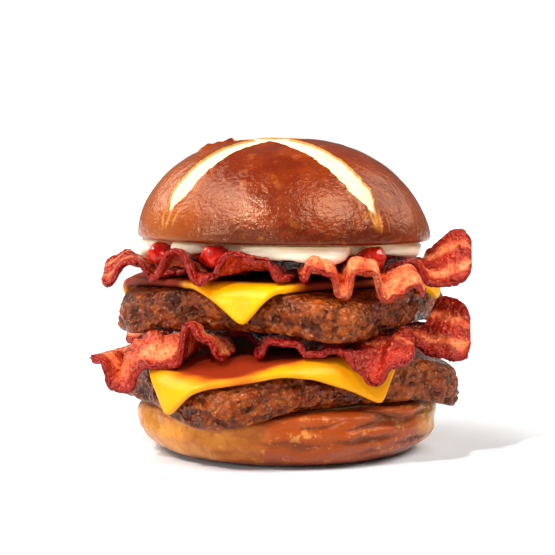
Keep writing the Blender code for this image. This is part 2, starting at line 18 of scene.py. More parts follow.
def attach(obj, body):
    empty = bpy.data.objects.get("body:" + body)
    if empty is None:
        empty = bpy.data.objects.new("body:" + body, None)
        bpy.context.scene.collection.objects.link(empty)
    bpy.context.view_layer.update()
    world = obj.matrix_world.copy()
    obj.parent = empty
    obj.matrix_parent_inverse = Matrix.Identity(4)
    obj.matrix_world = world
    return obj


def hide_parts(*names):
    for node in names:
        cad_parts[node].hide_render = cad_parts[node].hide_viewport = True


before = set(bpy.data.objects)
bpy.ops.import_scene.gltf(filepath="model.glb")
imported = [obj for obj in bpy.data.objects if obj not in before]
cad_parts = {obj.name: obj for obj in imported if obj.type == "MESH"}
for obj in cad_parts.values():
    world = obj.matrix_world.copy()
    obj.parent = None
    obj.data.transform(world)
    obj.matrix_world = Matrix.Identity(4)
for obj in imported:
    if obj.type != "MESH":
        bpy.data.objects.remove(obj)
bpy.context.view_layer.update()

# %% [markdown]
# ## Camera
#
# The photograph was taken from the front with a long lens, a little above the middle of the
# burger. Its focal length in pixels gives the lens for a 36 mm sensor.

# %% Place the camera
PHOTO_WIDTH = 555
FOCAL_PIXELS = 1686
CAMERA_PLACE = (-0.0034, -0.600, 0.106)
CAMERA_TILT = radians(4.3)

camera = bpy.data.objects.new("camera", bpy.data.cameras.new("camera"))
camera.data.sensor_width = 36
camera.data.lens = camera.data.sensor_width * FOCAL_PIXELS / PHOTO_WIDTH
camera.location = CAMERA_PLACE
camera.rotation_euler = (pi / 2 - CAMERA_TILT, 0, 0)
bpy.context.scene.collection.objects.link(camera)
bpy.context.scene.camera = camera
print("lens:", round(camera.data.lens, 1), "mm")

# %% [markdown]
# ## Colours and nodes
#
# Colours are written as the hex values that a picture shows, and turned to the linear values
# that a shader works in. `add` adds a node, sets its properties, and fills its inputs with numbers
# or with links from other nodes. A finish starts with `new_finish`, which hands over what its
# patterns follow. `paint` then lays one colour over another, each where a value lies between two
# limits, and `wire_up` joins the colour, the gloss and the bumps to the shader.

# %% Helpers for materials
def linear(hex_colour):
    """sRGB hex such as 'c8643c' as a linear RGBA colour."""
    parts = [int(hex_colour[i:i + 2], 16) / 255 for i in (0, 2, 4)]
    return (*[p / 12.92 if p <= 0.04045 else ((p + 0.055) / 1.055) ** 2.4 for p in parts], 1)


def add(tree, kind, inputs=None, **settings):
    """Adds a node. An input, named or numbered, takes a value or another node's output."""
    made = tree.nodes.new("ShaderNode" + kind)
    for name, value in settings.items():
        setattr(made, name, value)
    for socket, value in (inputs or {}).items():
        if isinstance(value, bpy.types.NodeSocket):
            tree.links.new(value, made.inputs[socket])
        else:
            made.inputs[socket].default_value = value
    return made


def new_finish(name, tint, marks=(), noises=(), **sockets):
    """A material with its node tree, its shader and the place on the object. After these come the
    values of the mesh's marks, and of noises given by size in millimetres, detail and roughness.
    The tint is the colour of its reflections: on browned, fatty food they come back warm."""
    material = bpy.data.materials.new(name)
    material.use_nodes = True
    tree = material.node_tree
    shader = tree.nodes["Principled BSDF"]
    shader.inputs["Specular Tint"].default_value = linear(tint)
    for socket, value in sockets.items():
        shader.inputs[socket.replace("_", " ")].default_value = value
    place = add(tree, "TexCoord").outputs["Object"]
    values = [add(tree, "Attribute", attribute_name=mark).outputs["Fac"] for mark in marks]
    for size, detail, rough in noises:
        lumpy = {"Vector": place, "Scale": 1000 / size, "Detail": detail, "Roughness": rough}
        values.append(add(tree, "TexNoise", lumpy).outputs["Fac"])
    return material, tree, shader, place, *values


def paint(tree, base, *layers):
    """Lays colours over a base, one after another. A layer has the value that it follows, where it
    starts, where it is full, its largest share, and its colour. A colour is hex or a socket."""
    painted = linear(base) if isinstance(base, str) else base
    for value, start, full, most, colour in layers:
        limits = {"Value": value, "From Min": start, "From Max": full, "To Max": most}
        share = add(tree, "MapRange", limits, interpolation_type="SMOOTHSTEP").outputs[0]
        over_it = linear(colour) if isinstance(colour, str) else colour
        painted = add(tree, "Mix", {0: share, 6: painted, 7: over_it}, data_type="RGBA").outputs[2]
    return painted


def wire_up(tree, shader, bumps, **inputs):
    """Lays bumps over each other, each a height with its strength and its depth in metres. An input
    of the shader takes a node's output, or a value with what the input is where that is 0 and 1."""
    below = {}
    for height, strength, depth in bumps:
        bump = {"Height": height, "Strength": strength, "Distance": depth, **below}
        below = {"Normal": add(tree, "Bump", bump).outputs[0]}
    for socket, source in {**below, **inputs}.items():
        if isinstance(source, tuple):
            ends = dict(zip(("Value", "To Min", "To Max"), source))
            source = add(tree, "MapRange", ends).outputs[0]
        tree.links.new(source, shader.inputs[socket.replace("_", " ")])


print("pale crumb is", [round(c, 3) for c in linear("fef6d5")])

# %% [markdown]
# ## Helpers for shapes
#
# Bread, beef and bacon are uneven at several sizes at once. Each unevenness below is smooth noise
# with lumps of a known size in metres, so it can be compared with the food. `ramp` joins two
# states smoothly, and `make_piece` turns points into a mesh that rides on the CAD model and
# replaces its solid.

# %% Helpers for meshes
def ramp(value, start, end):
    """0 before start, 1 after end, and a smooth rise between them."""
    share = min(max((value - start) / (end - start), 0.0), 1.0)
    return share * share * (3 - 2 * share)


def mix(a, b, share):
    return a + (b - a) * share


def lumps(x, y, z, size, seed=0.0):
    """Smooth random height between about -1 and 1, with lumps of the given size."""
    return noise.noise(Vector((x / size + seed, y / size - seed, z / size + 0.7 * seed)))


def bell(distance, width):
    """1 at no distance, falling away over the given width."""
    return exp(-((distance / width) ** 2))


def polar(radius, angle):
    return radius * cos(angle), radius * sin(angle)


def full_turn(steps):
    return [2 * pi * i / steps for i in range(steps)]


def make_piece(name, node, slot, material, points, faces, marks):
    """A mesh that replaces a CAD node. Marks are values at its points that the material reads."""
    mesh = bpy.data.meshes.new(name)
    mesh.from_pydata(points, [], faces)
    mesh.update()
    for mark, values in marks.items():
        mesh.attributes.new(mark, "FLOAT", "POINT").data.foreach_set("value", values)
    volume = 0.0
    for face in mesh.polygons:
        volume += face.center.dot(face.normal) * face.area
    if volume < 0:
        mesh.flip_normals()
    mesh.shade_smooth()
    mesh.materials.append(material)
    piece = bpy.data.objects.new(name, mesh)
    bpy.context.scene.collection.objects.link(piece)
    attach(piece, "root")
    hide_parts(node)
    triangles = sum(len(face.vertices) - 2 for face in mesh.polygons)
    print(name, "has", triangles, "triangles and", round(abs(volume) / 3 * 1e6, 1), "ml")
    return piece


def ring_faces(total, around):
    """Faces over rings of points, all with the same number around, from a first point to a last."""
    last = total - 1 - around
    faces = [(0, 1 + (i + 1) % around, 1 + i) for i in range(around)]
    for start in range(1, last, around):
        for i in range(around):
            j = (i + 1) % around
            faces.append((start + i, start + j, start + around + j, start + around + i))
    return faces + [(last + i, last + (i + 1) % around, total - 1) for i in range(around)]


def sheet_faces(rows, columns):
    """Faces of a closed sheet: a grid of top points, then the same grid of bottom points."""
    below = rows * columns
    faces = []
    for i in range(rows - 1):
        for j in range(columns - 1):
            a = i * columns + j
            quad = (a, a + columns, a + columns + 1, a + 1)
            faces.append(quad)
            faces.append(tuple(below + k for k in reversed(quad)))
    border = grid_border(rows, columns)
    for a, b in zip(border, border[1:] + border[:1]):
        faces.append((a, b, below + b, below + a))
    return faces


def sheet_points(middle, shares, rows, thickness):
    """Top and bottom points of a sheet, from its middle surface and the shares of its thickness."""
    grid = np.array(middle, float).reshape(rows, -1, 3)
    normal = np.cross(*np.gradient(grid, axis=(0, 1)))
    normal /= np.maximum(np.linalg.norm(normal, axis=2, keepdims=True), 1e-12)
    offset = normal * (np.array(shares, float).reshape(rows, -1, 1) * thickness / 2)
    return np.concatenate([grid + offset, grid - offset]).reshape(-1, 3).tolist()


def grid_border(rows, columns):
    """Numbers of the points round the edge of a grid, in order."""
    border = list(range(columns))
    border += [i * columns + columns - 1 for i in range(1, rows)]
    border += [(rows - 1) * columns + j for j in range(columns - 2, -1, -1)]
    border += [i * columns for i in range(rows - 2, 0, -1)]
    return border


def rounded_span(half, edge, inner, around):
    """Places across a sheet from -half to half, each with its share of the sheet's thickness.
    The thickness is full over the middle and falls in an arc over the last stretch, called edge."""
    arcs = [radians(mix(14, 90, k / around)) for k in range(around)]
    low = [(-half + edge * (1 - cos(turn)), sin(turn)) for turn in arcs]
    flat = [(mix(-half + edge, half - edge, k / inner), 1.0) for k in range(inner + 1)]
    return low + flat + [(-place, share) for place, share in reversed(low)]


print("a sheet 4 mm wide:", [round(1000 * p, 2) for p, s in rounded_span(0.002, 0.001, 2, 3)])

# %% [markdown]
# ## Sizes of the layers
#
# These are the CAD model's own sizes in metres. A layer is a height over the plan, worked out
# from the layer that it lies on, so each piece below sits exactly where its solid does.

# %% Sizes from the CAD model
GAP = 0.0004  # clearance between layers that touch
HEEL_RADIUS, HEEL_FLAT, HEEL_BELLY = 0.0530, 0.0365, 0.0125
HEEL_HEIGHT, HEEL_SLOPE, HEEL_CREASE = 0.0200, 0.020, 0.0013
HEEL_RIM_DROP, HEEL_RIM_FROM, HEEL_RIM_TO = 0.0012, 0.0440, 0.0520

Patty = namedtuple("Patty", "name x y turn half_x half_y base slope thick sags seed")
PATTY_SQUARENESS, PATTY_EDGE, PATTY_UNEVEN = 5.0, 0.0050, 0.0016
SAG_FROM, SAG_TO = 0.042, 0.066  # reach over which an overhanging corner bends down
LOWER = Patty(
    "patty_lower", -0.0030, 0.0020, radians(25), 0.0545, 0.0525,
    HEEL_HEIGHT + GAP, HEEL_SLOPE, 0.0143, ((249, 0.0057), (0, 0.0065), (160, 0.0010)), 3.0,
)
UPPER = Patty(
    "patty_upper", -0.0010, 0.0010, radians(-26), 0.0505, 0.0500,
    0.0460, 0.0, 0.0135, ((291, 0.0042), (201, 0.0042), (21, 0.0042), (111, 0.0030)), 11.0,
)

Slice = namedtuple("Slice", "name patty x y turn side")
CHEESE_THICK, CHEESE_CORNER = 0.0026, 28.0
CHEESE_LATE, CHEESE_CLEAR, CHEESE_HANG = 0.0022, 0.0018, radians(80)
SLICES = (
    Slice("cheese_lower", LOWER, -0.0070, -0.0168, radians(4.9), 0.0830),
    Slice("cheese_upper", UPPER, -0.0040, -0.0005, radians(33), 0.0890),
)

CROWN_X, CROWN_RADIUS, CROWN_CUT, CROWN_RIM, CROWN_DOME = -0.0010, 0.0520, 0.0750, 0.0012, 0.0340
CROWN_FULL_TOP, CROWN_FULL_RIM, CROWN_FULL_LEFT, CROWN_SLOPE = 2.35, 1.85, 0.12, -0.012
print("burger is", round(1000 * (CROWN_CUT + CROWN_RIM + CROWN_DOME)), "mm tall")

# %% Heights of the layers
def near_angle(angle, at, width):
    """1 in a direction given in degrees, falling to 0 a little more than the width away from it."""
    return bell(abs((degrees(angle) - at + 180) % 360 - 180), width)


def under(patty, x, y):
    """Height of a patty's underside, with its overhanging corners bent down."""
    height = patty.base + patty.slope * x
    for corner, drop in patty.sags:
        reach = x * cos(radians(corner)) + y * sin(radians(corner))
        height -= drop * ramp(reach, SAG_FROM, SAG_TO)
    return height


def over(patty, x, y):
    return under(patty, x, y) + patty.thick


def heel_top(x, y):
    """Height of the heel's cut face, which the patty has pressed to its own underside."""
    rim = HEEL_RIM_DROP * ramp(hypot(x, y), HEEL_RIM_FROM, HEEL_RIM_TO)
    return under(LOWER, x, y) - GAP - rim


def outline(patty, angle):
    """Radius of a patty in a direction from its own centre."""
    turned = angle - patty.turn
    power = PATTY_SQUARENESS
    square = abs(cos(turned) / patty.half_x) ** power + abs(sin(turned) / patty.half_y) ** power
    wobble = lumps(cos(angle), sin(angle), 0, 0.6, patty.seed)
    return square ** (-1 / power) + PATTY_UNEVEN * wobble


def outside(patty, x, y):
    """Distance of a plan point outside a patty's outline, negative inside."""
    dx, dy = x - patty.x, y - patty.y
    return hypot(dx, dy) - outline(patty, atan2(dy, dx))


print("top of the lower patty in the middle:", round(1000 * over(LOWER, 0, 0), 1), "mm")

# %% [markdown]
# ## Heel of the bun
#
# The heel is soft pretzel dough, squeezed by what lies on it. Its crust has long soft folds,
# deepest at the front right, where they run down to the side, and fine upright wrinkles at the
# left and right. Each large fold is a line on the side of the bread, given by angles in degrees
# from the front, positive to the right, and heights in millimetres.

# %% Shape of the heel
HEEL_AROUND, HEEL_BELLY_STEPS, HEEL_SIDE_STEPS = 620, 40, 30
HEEL_BRIM = 0.0034  # how far the crust curls in to the cut
HEEL_LUMP, CUT_CRUMB, FOLD_WARP = 0.012, 0.0016, 0.006  # sizes of the crust's and crumb's lumps
WRINKLE_DEEP, WRINKLE_APART = 0.00045, 0.0042
EDGE_ON = (38, 75)  # degrees from the front over which the upright wrinkles begin
HEEL_CUT_INSETS = (0.0046, 0.0060, 0.0085, 0.0120, 0.0170, 0.0250, 0.0370)
CUT_CRUST = 0.0070  # how far in from its rim the cut face still has the colour of the crust
Fold = namedtuple("Fold", "angle height to_angle to_height depth width")
FOLDS = [Fold(*row) for row in (
    (19, 10.2, 43, 11.0, 1.8, 1.7), (22, 14.2, 45, 16.8, 1.6, 1.6), (44, 7.6, 72, 7.8, 1.4, 1.3),
    (-12, 10.8, 16, 8.8, 1.0, 2.4), (33, 20.0, 49, 15.0, 2.0, 2.4), (2, 15.0, 20, 17.0, 1.0, 1.8),
    (48, 14.0, 66, 17.5, 1.1, 1.4), (-38, 7.0, -14, 6.0, 0.5, 2.0), (27, 5.4, 40, 6.6, 0.8, 1.5),
    (118, 9.0, 150, 13.0, 1.1, 1.8), (196, 12.0, 228, 9.0, 1.2, 2.0), (262, 8, 290, 12, 0.9, 1.8),
)]
SAUCE_AND_HIGHLIGHT_SPOT = (-37, 16.5, 4.5)  # where sauce ran onto the bread, painted nearly white as a highlight: angle, height and size


def to_front(angle):
    """Degrees from the front of the burger, positive to the right, between -90 and 270."""
    return (degrees(angle) + 90 + 90) % 360 - 90


def fold_depth(angle, height):
    """Depth in metres of the folds at a place on the side of the heel."""
    here = Vector((radians(to_front(angle)) * HEEL_RADIUS, height))
    warp = 0.0012 * lumps(here.x, here.y, 0, FOLD_WARP, 2.0)
    depth = 0.0
    for fold in FOLDS:
        start = Vector((radians(fold.angle) * HEEL_RADIUS, fold.height / 1000))
        line = Vector((radians(fold.to_angle) * HEEL_RADIUS, fold.to_height / 1000)) - start
        share = min(max((here - start).dot(line) / line.length_squared, 0.0), 1.0)
        off = here - start - line * share
        side = (off.y + warp) * 1000 / fold.width
        away = hypot(off.x * 1000 / (2.5 * fold.width), side)
        end = sin(pi * mix(0.12, 0.88, share))
        depth += fold.depth / 1000 * end * (bell(away, 1.0) - 0.45 * bell(away, 2.1) * (side > 0))
    return depth


def heel_point(radius, angle, height):
    """A point of the crust, pushed out and in by lumps, folds and upright wrinkles."""
    x, y = polar(radius, angle)
    run = angle * HEEL_RADIUS
    edge_on = ramp(abs(to_front(angle)), *EDGE_ON)
    wrinkle = max(0.0, 1 - 3.0 * abs(lumps(run, 0.16 * height, 0, WRINKLE_APART, 8.0)))
    push = HEEL_CREASE * lumps(x, y, 2.2 * height, HEEL_LUMP, 5.0) - fold_depth(angle, height)
    push -= WRINKLE_DEEP * wrinkle * edge_on + 0.0001 * lumps(run, 1.6 * height, 0, 0.0024, 3.0)
    x, y = polar(radius + push * ramp(height, 0.0, 0.0035), angle)
    return x, y, height


def cut_point(x, y):
    """A point of the cut face, rough with crumb."""
    return x, y, heel_top(x, y) + 0.00025 * lumps(x, y, 0, CUT_CRUMB, 2.0) - 0.0001


def heel_mesh():
    points, crumb = [(0, 0, 0)], [0.0]
    angles = full_turn(HEEL_AROUND)

    def ring(place, is_crumb=0.0):
        points.extend(place(angle) for angle in angles)
        crumb.extend([is_crumb] * HEEL_AROUND)

    for share in (0.5, 0.93, 1.0):
        ring(lambda angle: (*polar(HEEL_FLAT * share, angle), 0.0))
    for step in range(1, HEEL_BELLY_STEPS + 1):
        turn = pi / 2 * step / HEEL_BELLY_STEPS
        radius = mix(HEEL_FLAT, HEEL_RADIUS, sin(turn))
        ring(lambda angle: heel_point(radius, angle, HEEL_BELLY * (1 - cos(turn))))
    brim = HEEL_RADIUS - HEEL_BRIM
    for step in range(1, HEEL_SIDE_STEPS + 1):
        turn = pi / 2 * step / HEEL_SIDE_STEPS
        radius = mix(HEEL_RADIUS, brim, (1 - cos(turn)) ** 1.3)
        ring(lambda angle: heel_point(
            radius, angle, mix(HEEL_BELLY, heel_top(*polar(brim, angle)), sin(turn))))
    for inset in HEEL_CUT_INSETS:
        ring(lambda angle: cut_point(*polar(HEEL_RADIUS - inset, angle)), float(inset > CUT_CRUST))
    points.append((0, 0, heel_top(0, 0)))
    crumb.append(1.0)
    hollow, wet = [], []
    for x, y, z in points:
        angle = atan2(y, x)
        on_side = hypot(x, y) > HEEL_FLAT
        # Fold depth, which the finish paints as shade.
        hollow.append(1000 * fold_depth(angle, z) if on_side else 0.0)
        # A spot of sauce that also carries a painted highlight.
        beside = radians(to_front(angle) - SAUCE_AND_HIGHLIGHT_SPOT[0]) * HEEL_RADIUS * 1000
        off = hypot(beside, 1.6 * (1000 * z - SAUCE_AND_HIGHLIGHT_SPOT[1])) + 2.4 * lumps(x, y, z, 0.0022, 1.0)
        wet.append(ramp(off, SAUCE_AND_HIGHLIGHT_SPOT[2], 0.6 * SAUCE_AND_HIGHLIGHT_SPOT[2]) if on_side else 0.0)
    marks = {"crumb": crumb, "hollow": hollow, "wet": wet}
    return points, ring_faces(len(points), HEEL_AROUND), marks


# %% [markdown]
# Pretzel crust is dough that was dipped in lye and baked: a thin, tight, glossy skin over a pale
# crumb. On the heel it is lighter than on the crown, golden at the left and a redder brown in the
# middle, with a dark line where it sat on the baking sheet. The golden left is partly painted
# light, the folds are darkened with painted shade, and a spot of sauce is painted nearly white as a
# highlight. The colours are laid out by the place on the bread and broken up by noise.

# %% Finish of the heel: soft pretzel crust, baked golden
def heel_crust():
    material, tree, shader, place, *values = new_finish(
        "soft_pretzel_crust_golden", "ffd0a8", ("hollow", "wet", "crumb"),
        ((15, 4, 0.6), (5, 4, 0.6), (1.3, 3, 0.65), (2.4, 5, 0.6)), Roughness=0.27, IOR=1.45,
        Specular_IOR_Level=0.5, Metallic=0.0, Subsurface_Weight=0.08, Subsurface_Scale=0.002)
    hollow, wet, crumb, patches, blotches, freckles, skin = values
    x, _, z = add(tree, "SeparateXYZ", {0: place}).outputs
    uneven = add(tree, "Math", {0: patches, 1: 0.06, 2: -0.03}, operation="MULTIPLY_ADD").outputs[0]
    # Darker to the right and golden to the left: partly how it baked, partly painted light from the
    # left.
    bake_and_light = add(tree, "Math", {0: x, 1: uneven}, operation="ADD").outputs[0]
    gold = paint(
        tree, "ce8428", (bake_and_light, -0.052, 0.002, 1.0, "943a0a"),
        (blotches, 0.50, 0.66, 0.55, "8c3d12"), (blotches, 0.44, 0.32, 0.45, "e5a050"),
        (z, 0.012, 0.021, 0.50, "9c3f18"), (x, 0.042, 0.051, 0.75, "dfa55e"),
        # Painted shade: darker in the folds of the crust.
        (hollow, 0.10, 0.90, 0.85, "62270d"), (z, 0.0040, 0.0003, 0.85, "6a2409"),
        # A spot of sauce, painted nearly white as a highlight.
        (freckles, 0.62, 0.76, 0.25, "eeb060"), (wet, 0.0, 1.0, 1.0, "fbe2cc"),
        (crumb, 0.0, 1.0, 1.0, "efcf94"))
    wire_up(tree, shader, ((skin, 0.35, 0.0006), (blotches, 0.5, 0.0012)), Base_Color=gold)
    return material


make_piece("heel_bread", "bun_heel", "heel_crust", heel_crust(), *heel_mesh())

# %% [markdown]
# ## Beef patties
#
# A patty is coarse minced beef pressed into a rounded square and seared on a griddle. Up close
# it is lumps of a centimetre with hollows between them, covered in pebbles of six millimetres and
# granules of three. Smooth noise makes the lumps. Distances to scattered points, known as Voronoi
# noise, make the pebbles and granules, because they have creases between round tops.

# %% Shape of a patty
PATTY_AROUND, PATTY_SIDE_STEPS = 800, 64
PATTY_INNER = [0.995, 0.985, 0.97, 0.95, 0.925, 0.895, 0.86, 0.82, 0.77, 0.70, 0.60, 0.45, 0.25]
# Sizes of what the mince is made of, from its broad swells to its finest grain.
SWELL, KNOB, CURD, HOLLOW = 0.011, 0.0095, 0.0062, 0.0060
BUMP, GRANULE, GRAIN = 0.0036, 0.0026, 0.0016


def pebbles(x, y, z, size, seed):
    """Round pebbles packed together: about 0 in the cracks, up to 1 on their tops."""
    near = noise.voronoi(Vector((x / size + seed, y / size, z / size - seed)))[0]
    return sqrt(max(0.0, 1 - (1.15 * near[0]) ** 2)) * min(1.0, 0.35 + 3 * (near[1] - near[0]))


def mince(x, y, z, seed):
    """Height of the beef over its smooth form, in metres, and how deep in a crack it lies."""
    warp = 0.0014 * lumps(x, y, z, 0.004, seed + 5)
    curd = pebbles(x + 2 * warp, y - 2 * warp, z + warp, CURD, seed)
    granule = pebbles(x - warp, y + warp, z, GRANULE, seed + 2)
    knob, bump, fine = (
        lumps(x, y, z, size, seed + shift) for size, shift in ((KNOB, 7), (BUMP, 9), (GRAIN, 11)))
    hollow = ramp(lumps(x, y, 1.4 * z, HOLLOW, seed + 13), 0.18, 0.60)
    height = 0.0012 * knob + 0.0011 * bump + 0.0009 * (curd - 0.7) + 0.00030 * (granule - 0.6)
    height += 0.0004 * fine - 0.0010 * hollow
    # How deep in a crack, lower on the knobs: the finish paints this as shade.
    depth = 0.65 * (1 - curd) + 0.20 * (1 - granule) + 0.50 * hollow
    return height, depth - 0.30 * knob - 0.35 * bump - 0.15 * fine


def patty_mesh(patty):
    points, depths = [(patty.x, patty.y, under(patty, patty.x, patty.y))], [0.0]
    angles = full_turn(PATTY_AROUND)
    radii = [outline(patty, angle) for angle in angles]

    def ring(scale, inset, share, facing, upward):
        """Points at a share of the thickness, moved by the mince outwards by facing and upwards."""
        for angle, rim in zip(angles, radii):
            x, y = polar((rim - inset) * scale, angle)
            x, y = x + patty.x, y + patty.y
            height = under(patty, x, y) + share * patty.thick
            grain, depth = mince(x, y, height, patty.seed)
            coarse = lumps(x, y, height, SWELL, patty.seed)
            push = facing * (-0.0006 + 0.0014 * coarse) + mix(0.12, 1.0, facing) * (grain - 0.0001)
            out_x, out_y = polar(facing * push, angle)
            points.append((x + out_x, y + out_y, height + upward * push))
            depths.append(depth)

    for scale in reversed(PATTY_INNER):
        ring(scale, PATTY_EDGE, 0.0, 0.0, -0.3)
    for step in range(PATTY_SIDE_STEPS + 1):
        turn = pi * (step / PATTY_SIDE_STEPS - 0.5)
        full = abs(cos(turn)) ** 0.8 if 0 < step < PATTY_SIDE_STEPS else 0.0
        share = 0.5 + 0.5 * copysign(abs(sin(turn)) ** 0.9, turn)
        ring(1.0, PATTY_EDGE * (1 - full), share, cos(turn), 0.5 * sin(turn))
    for scale in PATTY_INNER:
        ring(scale, PATTY_EDGE, 1.0, 0.0, 0.3)
    points.append((patty.x, patty.y, over(patty, patty.x, patty.y)))
    depths.append(0.0)
    return points, ring_faces(len(points), PATTY_AROUND), {"crack": depths}


# %% [markdown]
# Seared beef is brown where it touched the griddle, redder where the light enters it, and wet with
# fat, so it carries many small white glints. Drops of fat about two millimetres apart, rounder and
# glossier than the meat between them, make those glints: a single gloss would look like plastic.
# The cracks and hollows are painted near black, as shade.

# %% Finish of the patties: seared, fatty mince
def drops_of_fat(tree, place, size, reach):
    """1 in the middle of drops that stand a size in millimetres apart, 0 beyond their reach."""
    apart = add(tree, "TexVoronoi", {"Vector": place, "Scale": 1000 / size}).outputs["Distance"]
    limits = {"Value": apart, "From Min": reach, "From Max": 0.05}
    return add(tree, "MapRange", limits, interpolation_type="SMOOTHSTEP").outputs[0]


def seared_beef():
    material, tree, shader, place, *values = new_finish(
        "seared_minced_beef", "ffe0c0", ("crack",),
        ((13, 5, 0.65), (4.5, 5, 0.65), (1.5, 6, 0.75), (2.2, 1, 0.5)), IOR=1.45, Metallic=0.0,
        Subsurface_Weight=0.04, Subsurface_Scale=0.0015)
    crack, patches, lean, grains, soft = values
    brown = paint(
        tree, "641c02", (patches, 0.40, 0.60, 1.0, "86380a"),
        (lean, 0.52, 0.64, 0.6, "984212"), (lean, 0.46, 0.36, 0.7, "340902"),
        (grains, 0.52, 0.68, 0.55, "c47a34"), (grains, 0.47, 0.34, 0.65, "300a02"),
        # Painted shade: near black in the cracks and hollows.
        (crack, 0.15, 0.80, 0.9, "3a0e03"))
    drops = drops_of_fat(tree, place, 2.2, 0.55)
    wire_up(
        tree, shader, ((soft, 0.8, 0.0010), (grains, 0.35, 0.0006), (drops, 0.9, 0.0006)),
        Base_Color=brown, Roughness=(drops, 0.22, 0.09), Specular_IOR_Level=(drops, 0.30, 1.0))
    return material


beef = seared_beef()
for patty in (LOWER, UPPER):
    make_piece("minced_" + patty.name, patty.name, "beef", beef, *patty_mesh(patty))

# %% [markdown]
# ## Cheese
#
# Each slice is a soft square, two and a half millimetres thick, that lies turned on its patty, so
# that its corners hang over the edge. A point of the slice that lies beyond the patty bends down
# round it at an even radius, which gives the corners their pointed, hollow-sided shape.

# %% Shape of a cheese slice
CHEESE_INNER, CHEESE_EDGE_STEPS, CHEESE_ROUND = 96, 5, 0.0011
CHEESE_WAVE, CHEESE_SWELL, STAIN_AND_SHADE_BLOT = 0.012, 0.009, 0.007  # sizes of its unevenness
STAIN_AND_SHADE_IN, STAIN_AND_SHADE_OUT = -0.0060, 0.0030  # where the fat stain and painted shade start and end at the patty's edge
STAIN_AND_SHADE_LEFT = (0.032, 0.044)  # where the upper slice's stain and painted shade reach further out, to the left


def drape(patty, x, y, lift):
    """Where a point of a slice goes: on top of the patty, or bent down over its edge."""
    angle = atan2(y - patty.y, x - patty.x)
    edge = outline(patty, angle) - PATTY_EDGE + CHEESE_LATE
    beyond = hypot(x - patty.x, y - patty.y) - edge
    if beyond <= 0:
        return Vector((x, y, over(patty, x, y) + lift)), beyond
    bend = PATTY_EDGE - CHEESE_LATE + CHEESE_CLEAR + CHEESE_THICK / 2
    turn = min(beyond / bend, CHEESE_HANG)
    straight = max(0.0, beyond - bend * CHEESE_HANG)
    out = bend * sin(turn) + straight * cos(CHEESE_HANG)
    down = bend * (1 - cos(turn)) + straight * sin(CHEESE_HANG)
    edge_x, edge_y = polar(edge, angle)
    height = over(patty, patty.x + edge_x, patty.y + edge_y) + lift
    far_x, far_y = polar(edge + out, angle)
    return Vector((patty.x + far_x, patty.y + far_y, height - down)), beyond


def cheese_mesh(slice_):
    patty = slice_.patty
    half = slice_.side / 2
    span = rounded_span(half, CHEESE_ROUND, CHEESE_INNER, CHEESE_EDGE_STEPS)
    middle, shares, stain_and_shade_marks = [], [], []
    for a, share_a in span:
        for b, share_b in span:
            blunt = abs(a / half) ** CHEESE_CORNER + abs(b / half) ** CHEESE_CORNER
            scale = max(abs(a), abs(b)) / half / blunt ** (1 / CHEESE_CORNER) if blunt else 1.0
            wave = 1 + 0.006 * lumps(a, b, 0, CHEESE_WAVE, patty.seed)
            along, across = a * scale * wave, b * scale * wave
            x = slice_.x + along * cos(slice_.turn) - across * sin(slice_.turn)
            y = slice_.y + along * sin(slice_.turn) + across * cos(slice_.turn)
            point, beyond = drape(patty, x, y, GAP + CHEESE_THICK / 2)
            soft = 0.00035 * lumps(x, y, point.z, CHEESE_SWELL, 6.0 + patty.seed)
            point.z += soft * ramp(beyond, STAIN_AND_SHADE_IN, 0.0)
            middle.append(tuple(point))
            shares.append(min(share_a, share_b))
            blot = lumps(x, y, 0, STAIN_AND_SHADE_BLOT, 3.0 + patty.seed)
            stain_and_shade_reach = 0.0028 if patty is LOWER else 0.0100 * ramp(-x, *STAIN_AND_SHADE_LEFT) - 0.0030
            # Fat stain and painted shade, deepest under the bacon inside the patty's edge.
            stain_and_shade_marks.append(1 - ramp(beyond + 0.0024 * blot - stain_and_shade_reach, STAIN_AND_SHADE_IN, STAIN_AND_SHADE_OUT))
    points = sheet_points(middle, shares, len(span), CHEESE_THICK)
    return points, sheet_faces(len(span), len(span)), {"stain_and_shade": stain_and_shade_marks + stain_and_shade_marks}


# %% [markdown]
# Processed cheese is smooth, dense and a little translucent: light goes in and comes out a few
# millimetres away, so its edges glow. Where bacon lies on it, fat has stained it brown, and painted
# shade darkens it further there. The lower slice is painted darker and more golden, as shade.

# %% Finish of the cheese: melting processed cheddar
def melting_cheddar():
    material, tree, shader, place, stain_and_shade, cloud, ripple = new_finish(
        "melting_processed_cheddar", "ffeaa8", ("stain_and_shade",), ((9, 3, 0.5), (3, 2, 0.5)), IOR=1.46,
        Specular_IOR_Level=0.35, Metallic=0.0, Subsurface_Weight=0.2, Subsurface_Scale=0.002,
        Subsurface_Radius=(1.0, 0.6, 0.1))
    z = add(tree, "SeparateXYZ", {0: place}).outputs["Z"]
    stained_and_shaded_cheese = paint(
        # Painted shade: the lower slice, below 47 mm, is darker and more golden.
        tree, "ee9600", (cloud, 0.35, 0.68, 1.0, "f6a900"), (z, 0.047, 0.040, 0.5, "cc8410"),
        # Fat stain with painted shade: orange, then dark red under the bacon.
        (stain_and_shade, 0.0, 0.60, 1.0, "cf6a10"), (stain_and_shade, 0.35, 1.0, 1.0, "7c1c04"))
    wire_up(tree, shader, ((ripple, 0.3, 0.0005),), Base_Color=stained_and_shaded_cheese, Roughness=(stain_and_shade, 0.30, 0.6))
    return material


cheddar = melting_cheddar()
for slice_ in SLICES:
    make_piece("melted_" + slice_.name, slice_.name, "cheese", cheddar, *cheese_mesh(slice_))

# %% [markdown]
# ## Ketchup and mayonnaise
#
# Both sauces are spread on the cut face of the crown and squeezed out by its weight. The thin
# ketchup comes out as a few fat drops, each in its own direction. The thick mayonnaise comes out
# as a soft rounded band that is notched where a drop of ketchup pushes past it.

